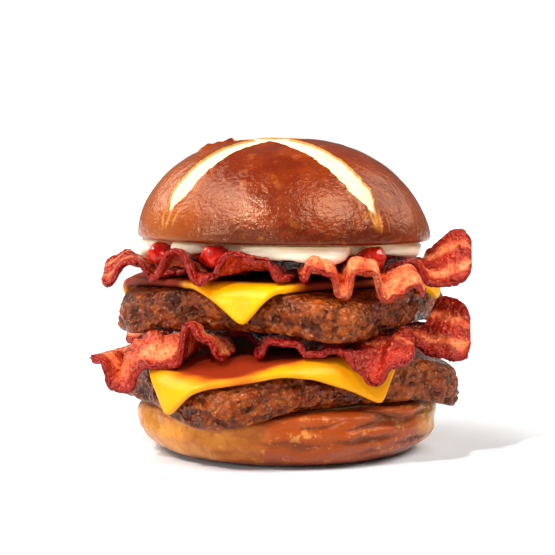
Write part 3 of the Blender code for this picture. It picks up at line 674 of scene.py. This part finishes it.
# %% Where the sauces come out
MAYO_TOP, MAYO_LOW, MAYO_RADIUS = 0.0746, 0.0712, 0.0485
KETCHUP_TOP, KETCHUP_LOW, KETCHUP_RADIUS = 0.0708, 0.0699, 0.0438
DRIP_REACH, DRIP_HANG, DRIP_TOP, DRIP_NOTCH = 0.0080, 0.0030, 0.0744, 0.0058
Lobe = namedtuple("Lobe", "angle reach hang width")  # degrees, and metres out and down
MAYO_LOBES = [Lobe(*row) for row in (
    (184, 0.0036, 0.0038, 12), (222, 0.0004, 0.0010, 10), (258, 0.0004, 0.0012, 9),
    (287, 0.0010, 0.0028, 16), (338, 0.0010, 0.0016, 12), (25, 0.0010, 0.0018, 16),
    (92, 0.0014, 0.0024, 18), (150, 0.0008, 0.0014, 12),
)]
KETCHUP_DRIPS = ((206, 6), (241, 8), (309, 8), (62, 8), (122, 7))  # angle and width in degrees


def drip_at(angle, spread=0):
    """1 in the direction of a ketchup drip, 0 well beside it. The spread makes each drip wider."""
    return max(near_angle(angle, at, width + spread) for at, width in KETCHUP_DRIPS)


def mayo_rim(angle):
    """Radius of the mayonnaise, set well back wherever a ketchup drip could reach up to it."""
    lobes = sum(lobe.reach * near_angle(angle, lobe.angle, lobe.width) for lobe in MAYO_LOBES)
    return MAYO_RADIUS + lobes - DRIP_NOTCH * min(1.0, 3 * drip_at(angle))


def mayo_low(angle):
    """Height of the mayonnaise's lower rim."""
    hang = sum(lobe.hang * near_angle(angle, lobe.angle, lobe.width) for lobe in MAYO_LOBES)
    return MAYO_LOW - hang * max(0.0, 1 - 10 * drip_at(angle))


def ketchup_rim(angle):
    return KETCHUP_RADIUS + DRIP_REACH * drip_at(angle)


def ketchup_low(angle):
    """Height of the ketchup's lower rim."""
    return KETCHUP_LOW - DRIP_HANG * drip_at(angle)


print("widest mayonnaise:", round(1000 * max(map(mayo_rim, full_turn(90))), 1), "mm from the axis")

# %% Shape of the sauces
SAUCE_AROUND, SAUCE_EDGE_STEPS = 480, 16


def wander(angle, turn, seed):
    """How far a sauce's rim is out of true: ketchup, with seed 0, is the lumpier one."""
    x, y = polar(KETCHUP_RADIUS, angle)
    return (0.0003 if seed else 0.0022) * lumps(x, y, 0.0015 * turn, 0.0038, seed)


def sauce_mesh(edge_at, seed):
    """A disc with a round edge. edge_at gives the rim, its lowest and highest height and its
    roundness at an angle."""
    edges = [(angle, *edge_at(angle)) for angle in full_turn(SAUCE_AROUND)]
    inner, top = (MAYO_LOW, MAYO_TOP) if seed else (KETCHUP_LOW, KETCHUP_TOP)
    points = [(CROWN_X, 0, inner + CROWN_SLOPE * CROWN_X)]

    def ring(place):
        for edge in edges:
            radius, height = place(*edge)
            x, y = polar(radius, edge[0])
            points.append((x + CROWN_X, y, height + CROWN_SLOPE * (x + CROWN_X)))

    for share in (0.5, 0.8, 0.95):
        ring(lambda angle, rim, low, high, r: (
            (rim - 2.2 * r) * share, mix(inner, low, share ** 6)))
    for step in range(SAUCE_EDGE_STEPS + 1):
        turn = pi * (step / SAUCE_EDGE_STEPS - 0.5)
        ring(lambda angle, rim, low, high, r: (
            rim - r + r * cos(turn) + wander(angle, turn, seed),
            mix(low, high, 0.5 + 0.5 * sin(turn))))
    for share in (0.97, 0.93, 0.88, 0.5):
        ring(lambda angle, rim, low, high, r: (
            (rim - 1.2 * r) * share, mix(top, high, ramp(share, 0.86, 1.0))))
    points.append((CROWN_X, 0, top + CROWN_SLOPE * CROWN_X))
    return points, ring_faces(len(points), SAUCE_AROUND), {}


def mayo_edge(angle):
    low = mayo_low(angle) + 0.0003 * lumps(cos(angle), sin(angle), 0, 0.10, 7.0)
    return mayo_rim(angle), low, MAYO_TOP, 0.0014 + 0.3 * (MAYO_LOW - low)


def ketchup_edge(angle):
    drip = drip_at(angle)
    high = mix(KETCHUP_TOP, DRIP_TOP, ramp(drip, 0.45, 0.95))
    return ketchup_rim(angle), ketchup_low(angle), high, 0.0004 + 0.0026 * ramp(drip, 0.1, 0.8)


# %% [markdown]
# Ketchup is a wet, dark red paste: almost a mirror, with a deep colour. Mayonnaise is an opaque
# cream that light enters a little, so its shadows stay warm and pale.

# %% Finish of the sauces: wet ketchup and egg mayonnaise
def wet_ketchup():
    material, tree, shader, _, pulp = new_finish(
        "wet_tomato_ketchup", "ffe0d4", (), ((3.2, 1, 0.5),), Roughness=0.10, IOR=1.40,
        Specular_IOR_Level=0.8, Metallic=0.0, Subsurface_Weight=0.10, Subsurface_Scale=0.002)
    red = paint(tree, "a00f09", (pulp, 0.35, 0.7, 1.0, "cc2412"))
    wire_up(tree, shader, ((pulp, 1.0, 0.0016),), Base_Color=red)
    return material


def egg_mayonnaise():
    material, tree, shader, _, cream = new_finish(
        "egg_mayonnaise", "fff4e0", (), ((6, 3, 0.5),), Roughness=0.28, IOR=1.47,
        Specular_IOR_Level=0.4, Metallic=0.0, Subsurface_Weight=0.2, Subsurface_Scale=0.003,
        Subsurface_Radius=(1.0, 0.8, 0.5))
    white = paint(tree, "f8e6c6", (cream, 0.35, 0.7, 1.0, "fdf3dc"))
    wire_up(tree, shader, ((cream, 0.25, 0.0012),), Base_Color=white)
    return material


make_piece("ketchup_spread", "ketchup", "ketchup", wet_ketchup(), *sauce_mesh(ketchup_edge, 0))
mayonnaise = sauce_mesh(mayo_edge, 4.0)
make_piece("mayonnaise_spread", "mayonnaise", "mayonnaise", egg_mayonnaise(), *mayonnaise)

# %% [markdown]
# ## Bacon
#
# Each rasher is a strip, ruffled in the pan like a ribbon. Start and end are the plan points of
# its middle line, and the bends give the height of its front edge, in millimetres, at even steps:
# a crest or a dip each. The room between the layers above and below limits how far it can swing.

# %% Bacon strips
Strip = namedtuple("Strip", "name layer start end width bends steep rolls lip fat")
BACON_THICK, BACON_ROOM, BACON_SOFT = 0.0023, 0.0020, 0.0016
BACK_EDGE, END_ROUND, END_LEFT, LIP_WIDTH = 0.55, 0.0085, 0.30, 0.0050
# Last come a strip's bands of fat, each with its place across from -1, the front, to 1, and width.
STRIPS = [Strip("bacon_" + name, *row) for name, *row in (
    ("top_front_left", 1, (-0.0450, -0.0360), (0.0020, -0.0450), 0.0190,
          (62, 73.5, 61.5, 72.5, 71, 59.5), 0.30, (8, 0, 0, 4), 0.0, ((0.35, 0.28),)),
    ("top_front_right", 1, (0.0035, -0.0475), (0.0450, -0.0445), 0.0180,
          (60, 67, 65.5, 57.5, 67, 66, 57, 59, 61, 55), 0.50, (10, 4, 4, 8), 0.0042,
          ((-0.75, 0.40), (0.0, 0.30), (0.6, 0.30))),
    ("top_second", 1, (-0.0640, -0.0140), (0.0630, -0.0220), 0.0200,
          (58, 68, 58, 69, 62, 69, 62, 69, 63, 69, 60, 60.5), 0.30, (26, 8, 0, 0, 0, 0, 0, 26, 72),
          0.0, ((-0.45, 0.16), (0.45, 0.14))),
    ("top_third", 1, (-0.0510, 0.0080), (0.0560, 0.0020), 0.0210,
          (62, 68, 62, 68, 62, 69, 67, 70, 66), 0.30, (24, 0, 0, 0, -8), 0.0,
          ((-0.2, 0.25), (0.6, 0.20))),
    ("top_back", 1, (-0.0470, 0.0350), (0.0500, 0.0290), 0.0210,
          (63, 69, 62, 68, 62, 68, 62, 67), 0.40, (-14, -24, -10, -24, -18), 0.0,
          ((-0.5, 0.20), (0.5, 0.30))),
    ("low_front_left", 0, (-0.0650, -0.0260), (-0.0190, -0.0440), 0.0200,
          (35, 35, 26, 26, 31, 29, 34, 49, 44, 37), 0.40, (0, 4, 40, 56, 50, 8, 4, 0), 0.0012,
          ((-0.25, 0.40), (0.6, 0.20))),
    ("low_front_right", 0, (-0.0110, -0.0425), (0.0420, -0.0455), 0.0190,
          (35.5, 44, 43, 36, 41, 33.5, 29.5, 36, 35), 0.40, (10, 10, 8, 42, 28), 0.0016,
          ((0.1, 0.10),)),
    ("low_second", 0, (-0.0290, -0.0160), (0.0630, -0.0160), 0.0210,
          (39, 44, 39, 44, 39, 44, 40.5, 35.5, 32.5), 0.30, (8, 0, 0, 0, 42, 74), 0.0,
          ((-0.4, 0.14), (0.4, 0.16))),
    ("low_third", 0, (-0.0580, 0.0080), (0.0550, 0.0110), 0.0210,
          (36, 43, 39, 44, 39, 44, 42, 46, 46), 0.30, (18, 0, 0, 0, -10), 0.0,
          ((-0.4, 0.25), (0.3, 0.25))),
    ("low_back", 0, (-0.0500, 0.0330), (0.0470, 0.0350), 0.0210,
          (37, 43, 38, 38, 43, 38, 43, 38), 0.40, (-12, -22, -10, -22, -16), 0.0,
          ((-0.1, 0.30), (0.7, 0.20))),
)]

# %% [markdown]
# The layers above and below leave a strip a certain room, which opens quickly beyond their edges.

# %% Room for the bacon between the layers
CHEESE_TOP = GAP + CHEESE_THICK  # from the patty to the top of its cheese
CHEESE_FADE = (0.0040, 0.0120)  # past its edge, where the bacon settles down to the patty
DRIP_BERTH, SAUCE_BERTH = 3, 0.0018  # degrees and metres that the bacon keeps clear of the sauces
EDGE_FALL, CEILING_RISE, EDGE_CLEAR, DRAPE_CLEAR = 3.0, 4.0, 0.0015, 0.0045


def sauce_under(x, y):
    """Lowest sauce above a plan point. Outside the sauces it climbs quickly to the crown."""
    radius, angle = hypot(x - CROWN_X, y), atan2(y, x - CROWN_X)
    drip = drip_at(angle, DRIP_BERTH)
    rim = max(mayo_rim(angle), KETCHUP_RADIUS + DRIP_REACH * drip) + SAUCE_BERTH
    hanging = min(mayo_low(angle) - KETCHUP_LOW, -DRIP_HANG * drip)
    low = KETCHUP_LOW + min(hanging, 0.0) * ramp(radius, 0.9 * KETCHUP_RADIUS, KETCHUP_RADIUS)
    low += CEILING_RISE * max(0.0, radius - rim)
    crust = CROWN_CUT + CEILING_RISE * max(0.0, radius - CROWN_RADIUS - SAUCE_BERTH)
    return min(low, crust) + CROWN_SLOPE * x


def covered(slice_, x, y):
    """1 where a cheese slice lies, 0 well outside it."""
    dx, dy = x - slice_.x, y - slice_.y
    along = abs(dx * cos(slice_.turn) + dy * sin(slice_.turn))
    across = abs(dy * cos(slice_.turn) - dx * sin(slice_.turn))
    return 1 - ramp(max(along, across) - slice_.side / 2, *CHEESE_FADE)


def room(layer, x, y):
    """Lowest and highest height that a bacon strip's middle may take at a plan point."""
    patty = (LOWER, UPPER)[layer]
    cheese_here = covered(SLICES[layer], x, y)
    past_edge = max(0.0, outside(patty, x, y) - EDGE_CLEAR - DRAPE_CLEAR * cheese_here)
    floor = over(patty, x, y) + CHEESE_TOP * cheese_here - EDGE_FALL * past_edge
    if layer == 0:
        ceiling = under(UPPER, x, y) + EDGE_FALL * max(0.0, outside(UPPER, x, y) - EDGE_CLEAR)
    else:
        ceiling = sauce_under(x, y)
    return floor + BACON_ROOM, ceiling - BACON_ROOM


def between(height, low, high):
    """The height, kept between two limits that it meets softly."""
    near = max(BACON_SOFT - abs(high - height), 0.0) / BACON_SOFT
    height = min(height, high) - near * near * BACON_SOFT / 4
    near = max(BACON_SOFT - abs(height - low), 0.0) / BACON_SOFT
    return max(height, low) + near * near * BACON_SOFT / 4


print("room for the top bacon in the middle:", [round(1000 * h, 1) for h in room(1, 0, 0)], "mm")

# %% [markdown]
# A rasher has a thick, round, dark edge where the meat has shrunk, thin ribs across it, and a
# ragged outline. The ribs and the outline are noise that is much longer in one direction, worked
# out from the distance along and across the strip, so they follow it round its bends.

# %% Shape of a strip
BACON_STEP, BACON_ACROSS, BACON_EDGE_STEPS = 0.00055, 12, 4
BACON_ROUND, BACON_END_ROUND = 0.00105, 0.0009  # how far in its long and its short edges are round
RAGGED_LONG, RAGGED_SHORT, BLISTER_BROAD, BLISTER_SMALL = 0.0055, 0.0017, 0.005, 0.0022
RIB_FINE, RIB_BROAD, FAT_WANDER, FAT_FRAY = 0.00085, 0.0021, 0.017, 0.0035


def ruffle(strip, u):
    """How far along a strip a point lies, as a share, and the height of the front edge there."""
    count = len(strip.bends) - 1
    bend = min(max(int(u * count), 0), count - 1)
    share = u * count - bend
    low, high = strip.bends[bend], strip.bends[bend + 1]
    along = bend + share + strip.steep * sin(2 * pi * share) / (2 * pi)
    return along / count, (low + (high - low) * (1 - cos(pi * share)) / 2) / 1000


def along_list(values, share):
    """The value at a share of the way along a list of values at even steps."""
    place = min(max(share, 0.0), 1.0) * (len(values) - 1)
    step = min(int(place), len(values) - 2)
    return values[step] + (values[step + 1] - values[step]) * ramp(place - step, 0.0, 1.0)


def end_share(to_end):
    """Share of a strip's width that is left at a distance from its round end."""
    away = min(max(to_end / END_ROUND, 0.0), 1.0)
    return END_LEFT + (1 - END_LEFT) * sqrt(1 - (1 - away) ** 2)


def strip_middle(strip, u, v, seed):
    """A point of a strip's middle surface, u along it from 0 to 1 and v across it from -1 to 1."""
    start, end = Vector(strip.start), Vector(strip.end)
    ahead = (end - start).normalized()
    aside = Vector((-ahead.y, ahead.x))
    share, front = ruffle(strip, u)
    level = sum(strip.bends) / len(strip.bends) / 1000
    length = (end - start).length
    half = strip.width / 2
    run = share * length
    ragged = 0.0013 * lumps(run, v, 0, RAGGED_LONG, seed)
    ragged += 0.0006 * lumps(run, v, 0, RAGGED_SHORT, seed)
    across = half * (1 + v * end_share(min(share, 1 - share) * length)) + ragged * v * abs(v)
    back = (1 - BACK_EDGE) * across / strip.width
    roll = radians(along_list(strip.rolls, share))
    plan = start + (end - start) * share + aside * (across * cos(roll) - half)
    height = front + (level - front) * back + across * sin(roll)
    height += strip.lip * ramp(across, 0.0, LIP_WIDTH)
    low, high = room(strip.layer, plan.x, plan.y)
    height = between(height, low, max(high, low))
    height += 0.0004 * lumps(run, v * half, 0, BLISTER_BROAD, seed + 3)
    height += 0.0003 * lumps(run, v * half, 0, BLISTER_SMALL, seed)
    return plan.x, plan.y, height


def strip_mesh(strip, seed):
    length = (Vector(strip.end) - Vector(strip.start)).length
    half = strip.width / 2
    steps = int(1.4 * length / BACON_STEP)
    along = rounded_span(0.5, BACON_END_ROUND / length, steps, BACON_EDGE_STEPS)
    across = rounded_span(half, BACON_ROUND, BACON_ACROSS, BACON_EDGE_STEPS)
    middle, shares, fats, rims = [], [], [], []
    for place, share_u in along:
        u = place + 0.5
        s = u * length
        for offset, share_v in across:
            v = offset / half
            middle.append(strip_middle(strip, u, v, seed))
            edge = bell(half - abs(offset), 0.0012)
            rib = lumps(s, offset * 0.16, 0, RIB_FINE, seed)
            rib += 0.6 * lumps(s, offset * 0.3, 0, RIB_BROAD, seed)
            shares.append(min(share_u, share_v) * (0.78 + 0.26 * edge + 0.26 * rib))
            drift = 0.30 * lumps(s, 0, 0, FAT_WANDER, seed)
            drift += 0.10 * lumps(s, offset, 0, FAT_FRAY, seed + 1)
            bands = sum(bell(v + drift - centre, width) for centre, width in strip.fat)
            fats.append(min(1.0, bands))
            rims.append(max(edge, bell(min(u, 1 - u) * length, 0.0009)))
    points = sheet_points(middle, shares, len(along), BACON_THICK)
    return points, sheet_faces(len(along), len(across)), {"fat": fats + fats, "rim": rims + rims}


# %% [markdown]
# Fried bacon is streaked along its length: lean meat goes a deep glassy red, fat goes a pale
# orange that light passes through, and the thin edges fry darkest. It is wet with its own fat,
# and the drops and fine blisters on it give broken white glints.

# %% Finish of the bacon: fried, streaky, wet with fat
def fried_streaky_bacon():
    material, tree, shader, place, *values = new_finish(
        "fried_streaky_bacon", "ffd0bc", ("fat", "rim"),
        ((9, 5, 0.65), (1.5, 5, 0.7), (1.5, 1, 0.5)), IOR=1.46, Specular_IOR_Level=0.55,
        Metallic=0.0, Subsurface_Weight=0.12, Subsurface_Scale=0.002,
        Subsurface_Radius=(1.0, 0.35, 0.12))
    fat, rim, patches, blisters, beads = values
    drops = drops_of_fat(tree, place, 1.5, 0.50)
    lean = paint(tree, "780903", (patches, 0.40, 0.60, 1.0, "a41e06"))
    pale = paint(tree, "cc3c10", (patches, 0.40, 0.60, 1.0, "f68650"))
    dark = add(tree, "Math", {0: fat, 1: -0.6, 2: 0.92}, operation="MULTIPLY_ADD").outputs[0]
    edge = add(tree, "Math", {0: dark, 1: rim}, operation="MULTIPLY").outputs[0]
    streaks = paint(
        tree, lean, (fat, 0.0, 1.0, 1.0, pale), (blisters, 0.50, 0.34, 0.65, "7c1206"),
        (blisters, 0.57, 0.72, 0.6, "f8a470"), (edge, 0.10, 0.60, 0.9, "880a05"))
    wire_up(
        tree, shader, ((beads, 1.0, 0.0010), (blisters, 0.45, 0.0008), (drops, 0.6, 0.0005)),
        Base_Color=streaks, Roughness=(drops, 0.26, 0.12))
    return material


rashers = fried_streaky_bacon()
for number, strip in enumerate(STRIPS):
    shape = strip_mesh(strip, 3.7 * number + 1)
    make_piece("fried_" + strip.name, strip.name, "bacon", rashers, *shape)

# %% [markdown]
# ## Crown of the bun
#
# Before baking, a cross is cut in the skin of the dough. In the oven the cut opens, and the pale
# crumb shows between two golden lips of crust. The dome is a square grid that is pressed into a
# disc, with its two middle lines along the arms of the cross, so the cut is crisp without a
# very fine mesh everywhere: the grid's lines are closest together where the cut is.

# %% Sizes of the cross
SCORE_TURN = radians(-51.5)  # direction of the arm of the cross that points to the front right
SCORE_CENTRE = (-0.0045, -0.0110)  # the cross was cut in front of the apex
SCORE_HALF, SCORE_DEPTH, SCORE_END, SCORE_TAPER = 0.0039, 0.0011, 0.80, 0.20
FLAKE_FROM, FLAKE_TO = (-0.0290, -0.0030), (-0.0165, 0.0020)
FLAKE_HEIGHT, FLAKE_HALF = 0.0016, 0.0020
CROWN_GRID, RIM_CURL, EVEN_SHARE = 284, 0.0016, 0.38  # steps, curl, and how even the steps are
PUFF_RISE, LIP_RISE, SPLIT_DEPTH, CRUMB_PORE = 0.0010, 0.00035, 0.0007, 0.0009


def dome(x, y):
    """Height of the smooth crust above the crown's widest line, at a plan point from its axis."""
    away = min(hypot(x, y) / CROWN_RADIUS, 1.0)
    power = CROWN_FULL_TOP + (CROWN_FULL_RIM - CROWN_FULL_TOP) * away ** 2
    power -= CROWN_FULL_LEFT * x / CROWN_RADIUS
    return CROWN_DOME * (1 - away ** power) ** (1 / power)


def flake(x, y):
    """Extra height where a flake of crust stands up."""
    start, end = Vector(FLAKE_FROM), Vector(FLAKE_TO)
    line = end - start
    share = min(max((Vector((x, y)) - start).dot(line) / line.length_squared, 0.0), 1.0)
    away = (Vector((x, y)) - start - line * share).length
    ragged = 0.85 + 0.4 * lumps(x, y, 0, 0.0022, 12.0)
    return FLAKE_HEIGHT * (1 - ramp(away, 0.0, FLAKE_HALF)) * ragged


def score_lines():
    """Even steps from -1 to 1, drawn closer together towards 0, where the cross is."""
    even = [2 * i / CROWN_GRID - 1 for i in range(CROWN_GRID + 1)]
    return [copysign(EVEN_SHARE * abs(t) + (1 - EVEN_SHARE) * t * t, t) for t in even]


finest = EVEN_SHARE * pi / CROWN_GRID * CROWN_RADIUS
print("finest spacing on the crown:", round(1000 * finest, 2), "mm")

# %% Shape of the crown
def cut_relief(beside, reach, arm):
    """Height change, crumb, gold and pucker at a point beside an arm of the cross."""
    left = ramp(SCORE_END - abs(reach), 0.0, SCORE_TAPER)
    ragged = 0.00045 * lumps(beside * 0.4 + arm, reach, 0, 0.035, 2.0 + arm)
    ragged += 0.00040 * lumps(beside, reach, arm, 0.022, 4.0)
    ragged += 0.00022 * lumps(beside, reach, arm, 0.009, 4.0)
    edge = SCORE_HALF * left + 0.0004 + ragged - abs(beside)
    open_ = min(1.0, 3 * left)
    inside = ramp(edge, -0.0001, 0.00035) * open_
    puff = ramp(edge, 0.0003, 0.0026) * open_
    split = bell(beside - 0.0007 - 0.0007 * lumps(reach, 0, arm, 0.11, 3.0), 0.00034)
    split *= ramp(left, 0.15, 0.5) * ramp(lumps(reach, 0, 0, 0.22, 8.0 + arm), -0.35, 0.05)
    lip = bell(edge + 0.0005, 0.0008) * open_
    rise = -SCORE_DEPTH * inside + PUFF_RISE * puff - SPLIT_DEPTH * split * inside + LIP_RISE * lip
    gold = max(bell(edge + 0.0001, 0.00026) * open_, 0.8 * split * inside)
    pucker = bell(abs(reach) - SCORE_END - 0.02, 0.09) * bell(beside, 0.0060)
    return rise, inside, gold, pucker


def dome_point(a, b):
    """A point of the crust from a square grid whose middle lines are the arms of the cross."""
    u = a * sqrt(1 - b * b / 2)
    v = b * sqrt(1 - a * a / 2)
    away = min(hypot(u, v), 1.0)
    stretch = CROWN_RADIUS * sin(pi / 2 * away) / away if away > 1e-9 else 0.0
    along, across = u * stretch, v * stretch
    shift = cos(pi / 2 * away) ** 2
    x = along * cos(SCORE_TURN) - across * sin(SCORE_TURN) + SCORE_CENTRE[0] * shift
    y = along * sin(SCORE_TURN) + across * cos(SCORE_TURN) + SCORE_CENTRE[1] * shift
    reliefs = (cut_relief(across, u, 0.0), cut_relief(along, v, 5.0))
    rise, crumb, gold, _ = max(reliefs, key=lambda relief: relief[1] + 0.5 * relief[2])
    pucker = max(relief[3] for relief in reliefs)
    height = dome(x, y)
    fade = ramp(away, 0.3, 0.9) * (1 - ramp(away, 0.9, 1.0))
    dent = 0.0008 * lumps(x, y, height, 0.016, 9.0) * fade
    dent += 0.00022 * lumps(x, y, height, 0.006, 1.0) * (1 - crumb)
    angle = atan2(y, x)
    pleat = max(0.0, 1 - 3.2 * abs(lumps(angle * 0.05, 0, height * 0.35, 0.0034, 6.0)))
    dent -= 0.0007 * pleat * pucker
    pores = 0.00016 * lumps(x, y, height, CRUMB_PORE, 3.0) * crumb
    lift = CROWN_CUT + CROWN_RIM + height + rise + dent + pores + flake(x, y)
    return (x + CROWN_X, y, lift + CROWN_SLOPE * x), crumb, gold, pucker * pleat


def crown_mesh():
    lines = score_lines()
    size = len(lines)
    made = [dome_point(a, b) for a in lines for b in lines]
    points, *values = (list(column) for column in zip(*made))
    starts = [i * size + j for i in range(size - 1) for j in range(size - 1)]
    faces = [(k, k + size, k + size + 1, k + 1) for k in starts]
    border = last = grid_border(size, size)
    around = len(border)
    rim = [(RIM_CURL * (1 - cos(t)), 1 - sin(t)) for t in (0.4, 0.8, 1.2, 1.57)]
    cut = [(inset, 0.0) for inset in (0.0022, 0.0035, 0.0060, 0.0120, 0.0250)]
    for inset, rise in rim + cut:
        ring = range(len(points), len(points) + around)
        scale = (CROWN_RADIUS - inset) / CROWN_RADIUS
        for k in border:
            x, y = points[k][0] - CROWN_X, points[k][1]
            height = CROWN_CUT + CROWN_RIM * rise + CROWN_SLOPE * x
            points.append((x * scale + CROWN_X, y * scale, height))
        colours = (ramp(inset, 0.0020, 0.0032), bell(inset - RIM_CURL, 0.0006), 0.0)
        for marks, value in zip(values, colours):
            marks.extend([value] * around)
        faces += [(last[i - 1], last[i], ring[i], ring[i - 1]) for i in range(around)]
        last = ring
    faces += [(last[i - 1], last[i], len(points)) for i in range(around)]
    points.append((CROWN_X, 0, CROWN_CUT))
    for marks, value in zip(values, (1.0, 0.0, 0.0)):
        marks.append(value)
    return points, faces, dict(zip(("crumb", "gold", "pleat"), values))


# %% [markdown]
# Pretzel crust on the crown is baked darker than on the heel: a tight mahogany skin with a soft
# gloss, tiny pale pores, and fine wrinkles where it dried. The lye turns it red-brown, and where it
# thins towards the cut it goes gold. Painted light makes it lighter towards its left and right
# sides. The crumb in the cut is dry, matt and cream white.

# %% Finish of the crown: pretzel crust, baked to mahogany
def crown_crust():
    material, tree, shader, place, *values = new_finish(
        "lye_dipped_pretzel_crust", "ffd0a4", ("crumb", "pleat", "gold"),
        ((16, 5, 0.6), (5.5, 4, 0.6), (0.9, 4, 0.7), (1.5, 3, 0.6)), IOR=1.45,
        Specular_IOR_Level=0.65, Metallic=0.0)
    crumb, pleat, gold, patches, blotches, pores, leather = values
    x, _, z = add(tree, "SeparateXYZ", {0: place}).outputs
    low = add(tree, "Math", {0: blotches, 1: 0.026, 2: 0.0640}, operation="MULTIPLY_ADD").outputs[0]
    height = add(tree, "Math", {0: z, 1: low}, operation="SUBTRACT").outputs[0]
    dry = paint(tree, "e6c88e", (pores, 0.35, 0.65, 1.0, "f7e8c2"))
    crust = paint(
        tree, "621602",
        (patches, 0.36, 0.64, 1.0, "7c2904"), (height, 0.0075, 0.0015, 0.85, "440c02"),
        # Painted light: lighter towards the left and the right sides.
        (x, -0.018, -0.046, 0.6, "a8541c"), (x, 0.030, 0.050, 0.5, "9a4412"),
        (blotches, 0.56, 0.68, 0.4, "a2501c"), (blotches, 0.44, 0.34, 0.35, "5c1804"),
        (pores, 0.62, 0.76, 0.6, "c47a33"), (pleat, 0.1, 0.9, 0.7, "c8832f"),
        (crumb, 0.0, 1.0, 1.0, dry), (gold, 0.05, 0.9, 0.8, "c07c24"))
    upright = add(tree, "Mapping", {"Vector": place, "Scale": (230, 230, 700)}).outputs[0]
    fine = {"Vector": upright, "Scale": 1.0, "Detail": 4, "Roughness": 0.6}
    wrinkles = add(tree, "TexNoise", fine).outputs["Fac"]
    wire_up(
        tree, shader, ((leather, 0.35, 0.0005), (wrinkles, 0.30, 0.0006), (blotches, 0.4, 0.0016)),
        Base_Color=crust, Roughness=(crumb, 0.23, 0.9))
    return material


make_piece("crown_bread", "bun_crown", "crown_crust", crown_crust(), *crown_mesh())

# %% [markdown]
# ## Table and light
#
# The burger stands on a plain pale table in front of a white studio wall. Every light is a sun: a
# far one with a large angle is soft and lights the whole table evenly. Two broad lights, high at
# the left and the right, make the two wide highlights on the crown, and two warmer ones light the
# sides and the back. Two small lights in front make the sharp white glints on what is wet, and a
# low one at the left shines on the side of the heel. The room is white where it is seen but dim as
# a lamp, which keeps the crust and the shadows deep.

# %% Table, lights and room
TABLE_HALF = 6.0
# Each light's azimuth, height and angle are in degrees, its strength in watts a square metre.
LIGHTS = (
    ("left_broad_light", -70, 54, 32, 2.2, "ffffff"),
    ("right_broad_light", 54, 50, 34, 2.6, "ffffff"),
    ("left_side_light", -124, 34, 36, 1.4, "fff2e0"),
    ("right_side_light", 120, 34, 36, 0.8, "fff0dc"),
    ("small_key_light", -34, 46, 2, 2.0, "ffffff"),
    ("low_left_light", -59, 17, 6, 0.9, "ffffff"),
    ("front_glint_light", -14, 14, 2, 0.4, "ffffff"),
)
ROOM_DIM, ROOM_WARM = 0.20, "fff0de"  # brightness and colour of the room as the burger sees it

table_mesh = bpy.data.meshes.new("pale_table")
corners = [(TABLE_HALF * a, TABLE_HALF * b, 0) for a, b in ((-1, -1), (1, -1), (1, 1), (-1, 1))]
table_mesh.from_pydata(corners, [], [(0, 1, 2, 3)])
table_finish = new_finish(
    "pale_matt_table", "ffffff", Base_Color=linear("d8dde2"), Roughness=0.9, Specular_IOR_Level=0.1)
table_mesh.materials.append(table_finish[0])
table = bpy.data.objects.new("pale_table", table_mesh)
bpy.context.scene.collection.objects.link(table)

for name, azimuth, elevation, angle, strength, colour in LIGHTS:
    lamp = bpy.data.objects.new(name, bpy.data.lights.new(name, "SUN"))
    lamp.data.angle = radians(angle)
    lamp.data.energy = strength
    lamp.data.color = linear(colour)[:3]
    turn, rise = radians(azimuth), radians(elevation)
    towards = Vector((sin(turn) * cos(rise), -cos(turn) * cos(rise), sin(rise)))
    lamp.rotation_euler = (-towards).to_track_quat("-Z", "Y").to_euler()
    bpy.context.scene.collection.objects.link(lamp)

world = bpy.data.worlds.new("white_studio")
world.use_nodes = True
room_tree = world.node_tree
seen = add(room_tree, "LightPath").outputs["Is Camera Ray"]
brightness = add(room_tree, "MapRange", {"Value": seen, "To Min": ROOM_DIM})
wall = add(room_tree, "Mix", {0: seen, 6: linear(ROOM_WARM), 7: linear("ffffff")}, data_type="RGBA")
backdrop = room_tree.nodes["Background"]
room_tree.links.new(wall.outputs[2], backdrop.inputs["Color"])
room_tree.links.new(brightness.outputs[0], backdrop.inputs["Strength"])
bpy.context.scene.world = world
bpy.context.scene.view_settings.view_transform = "Standard"
print("lights:", [light[0] for light in LIGHTS])
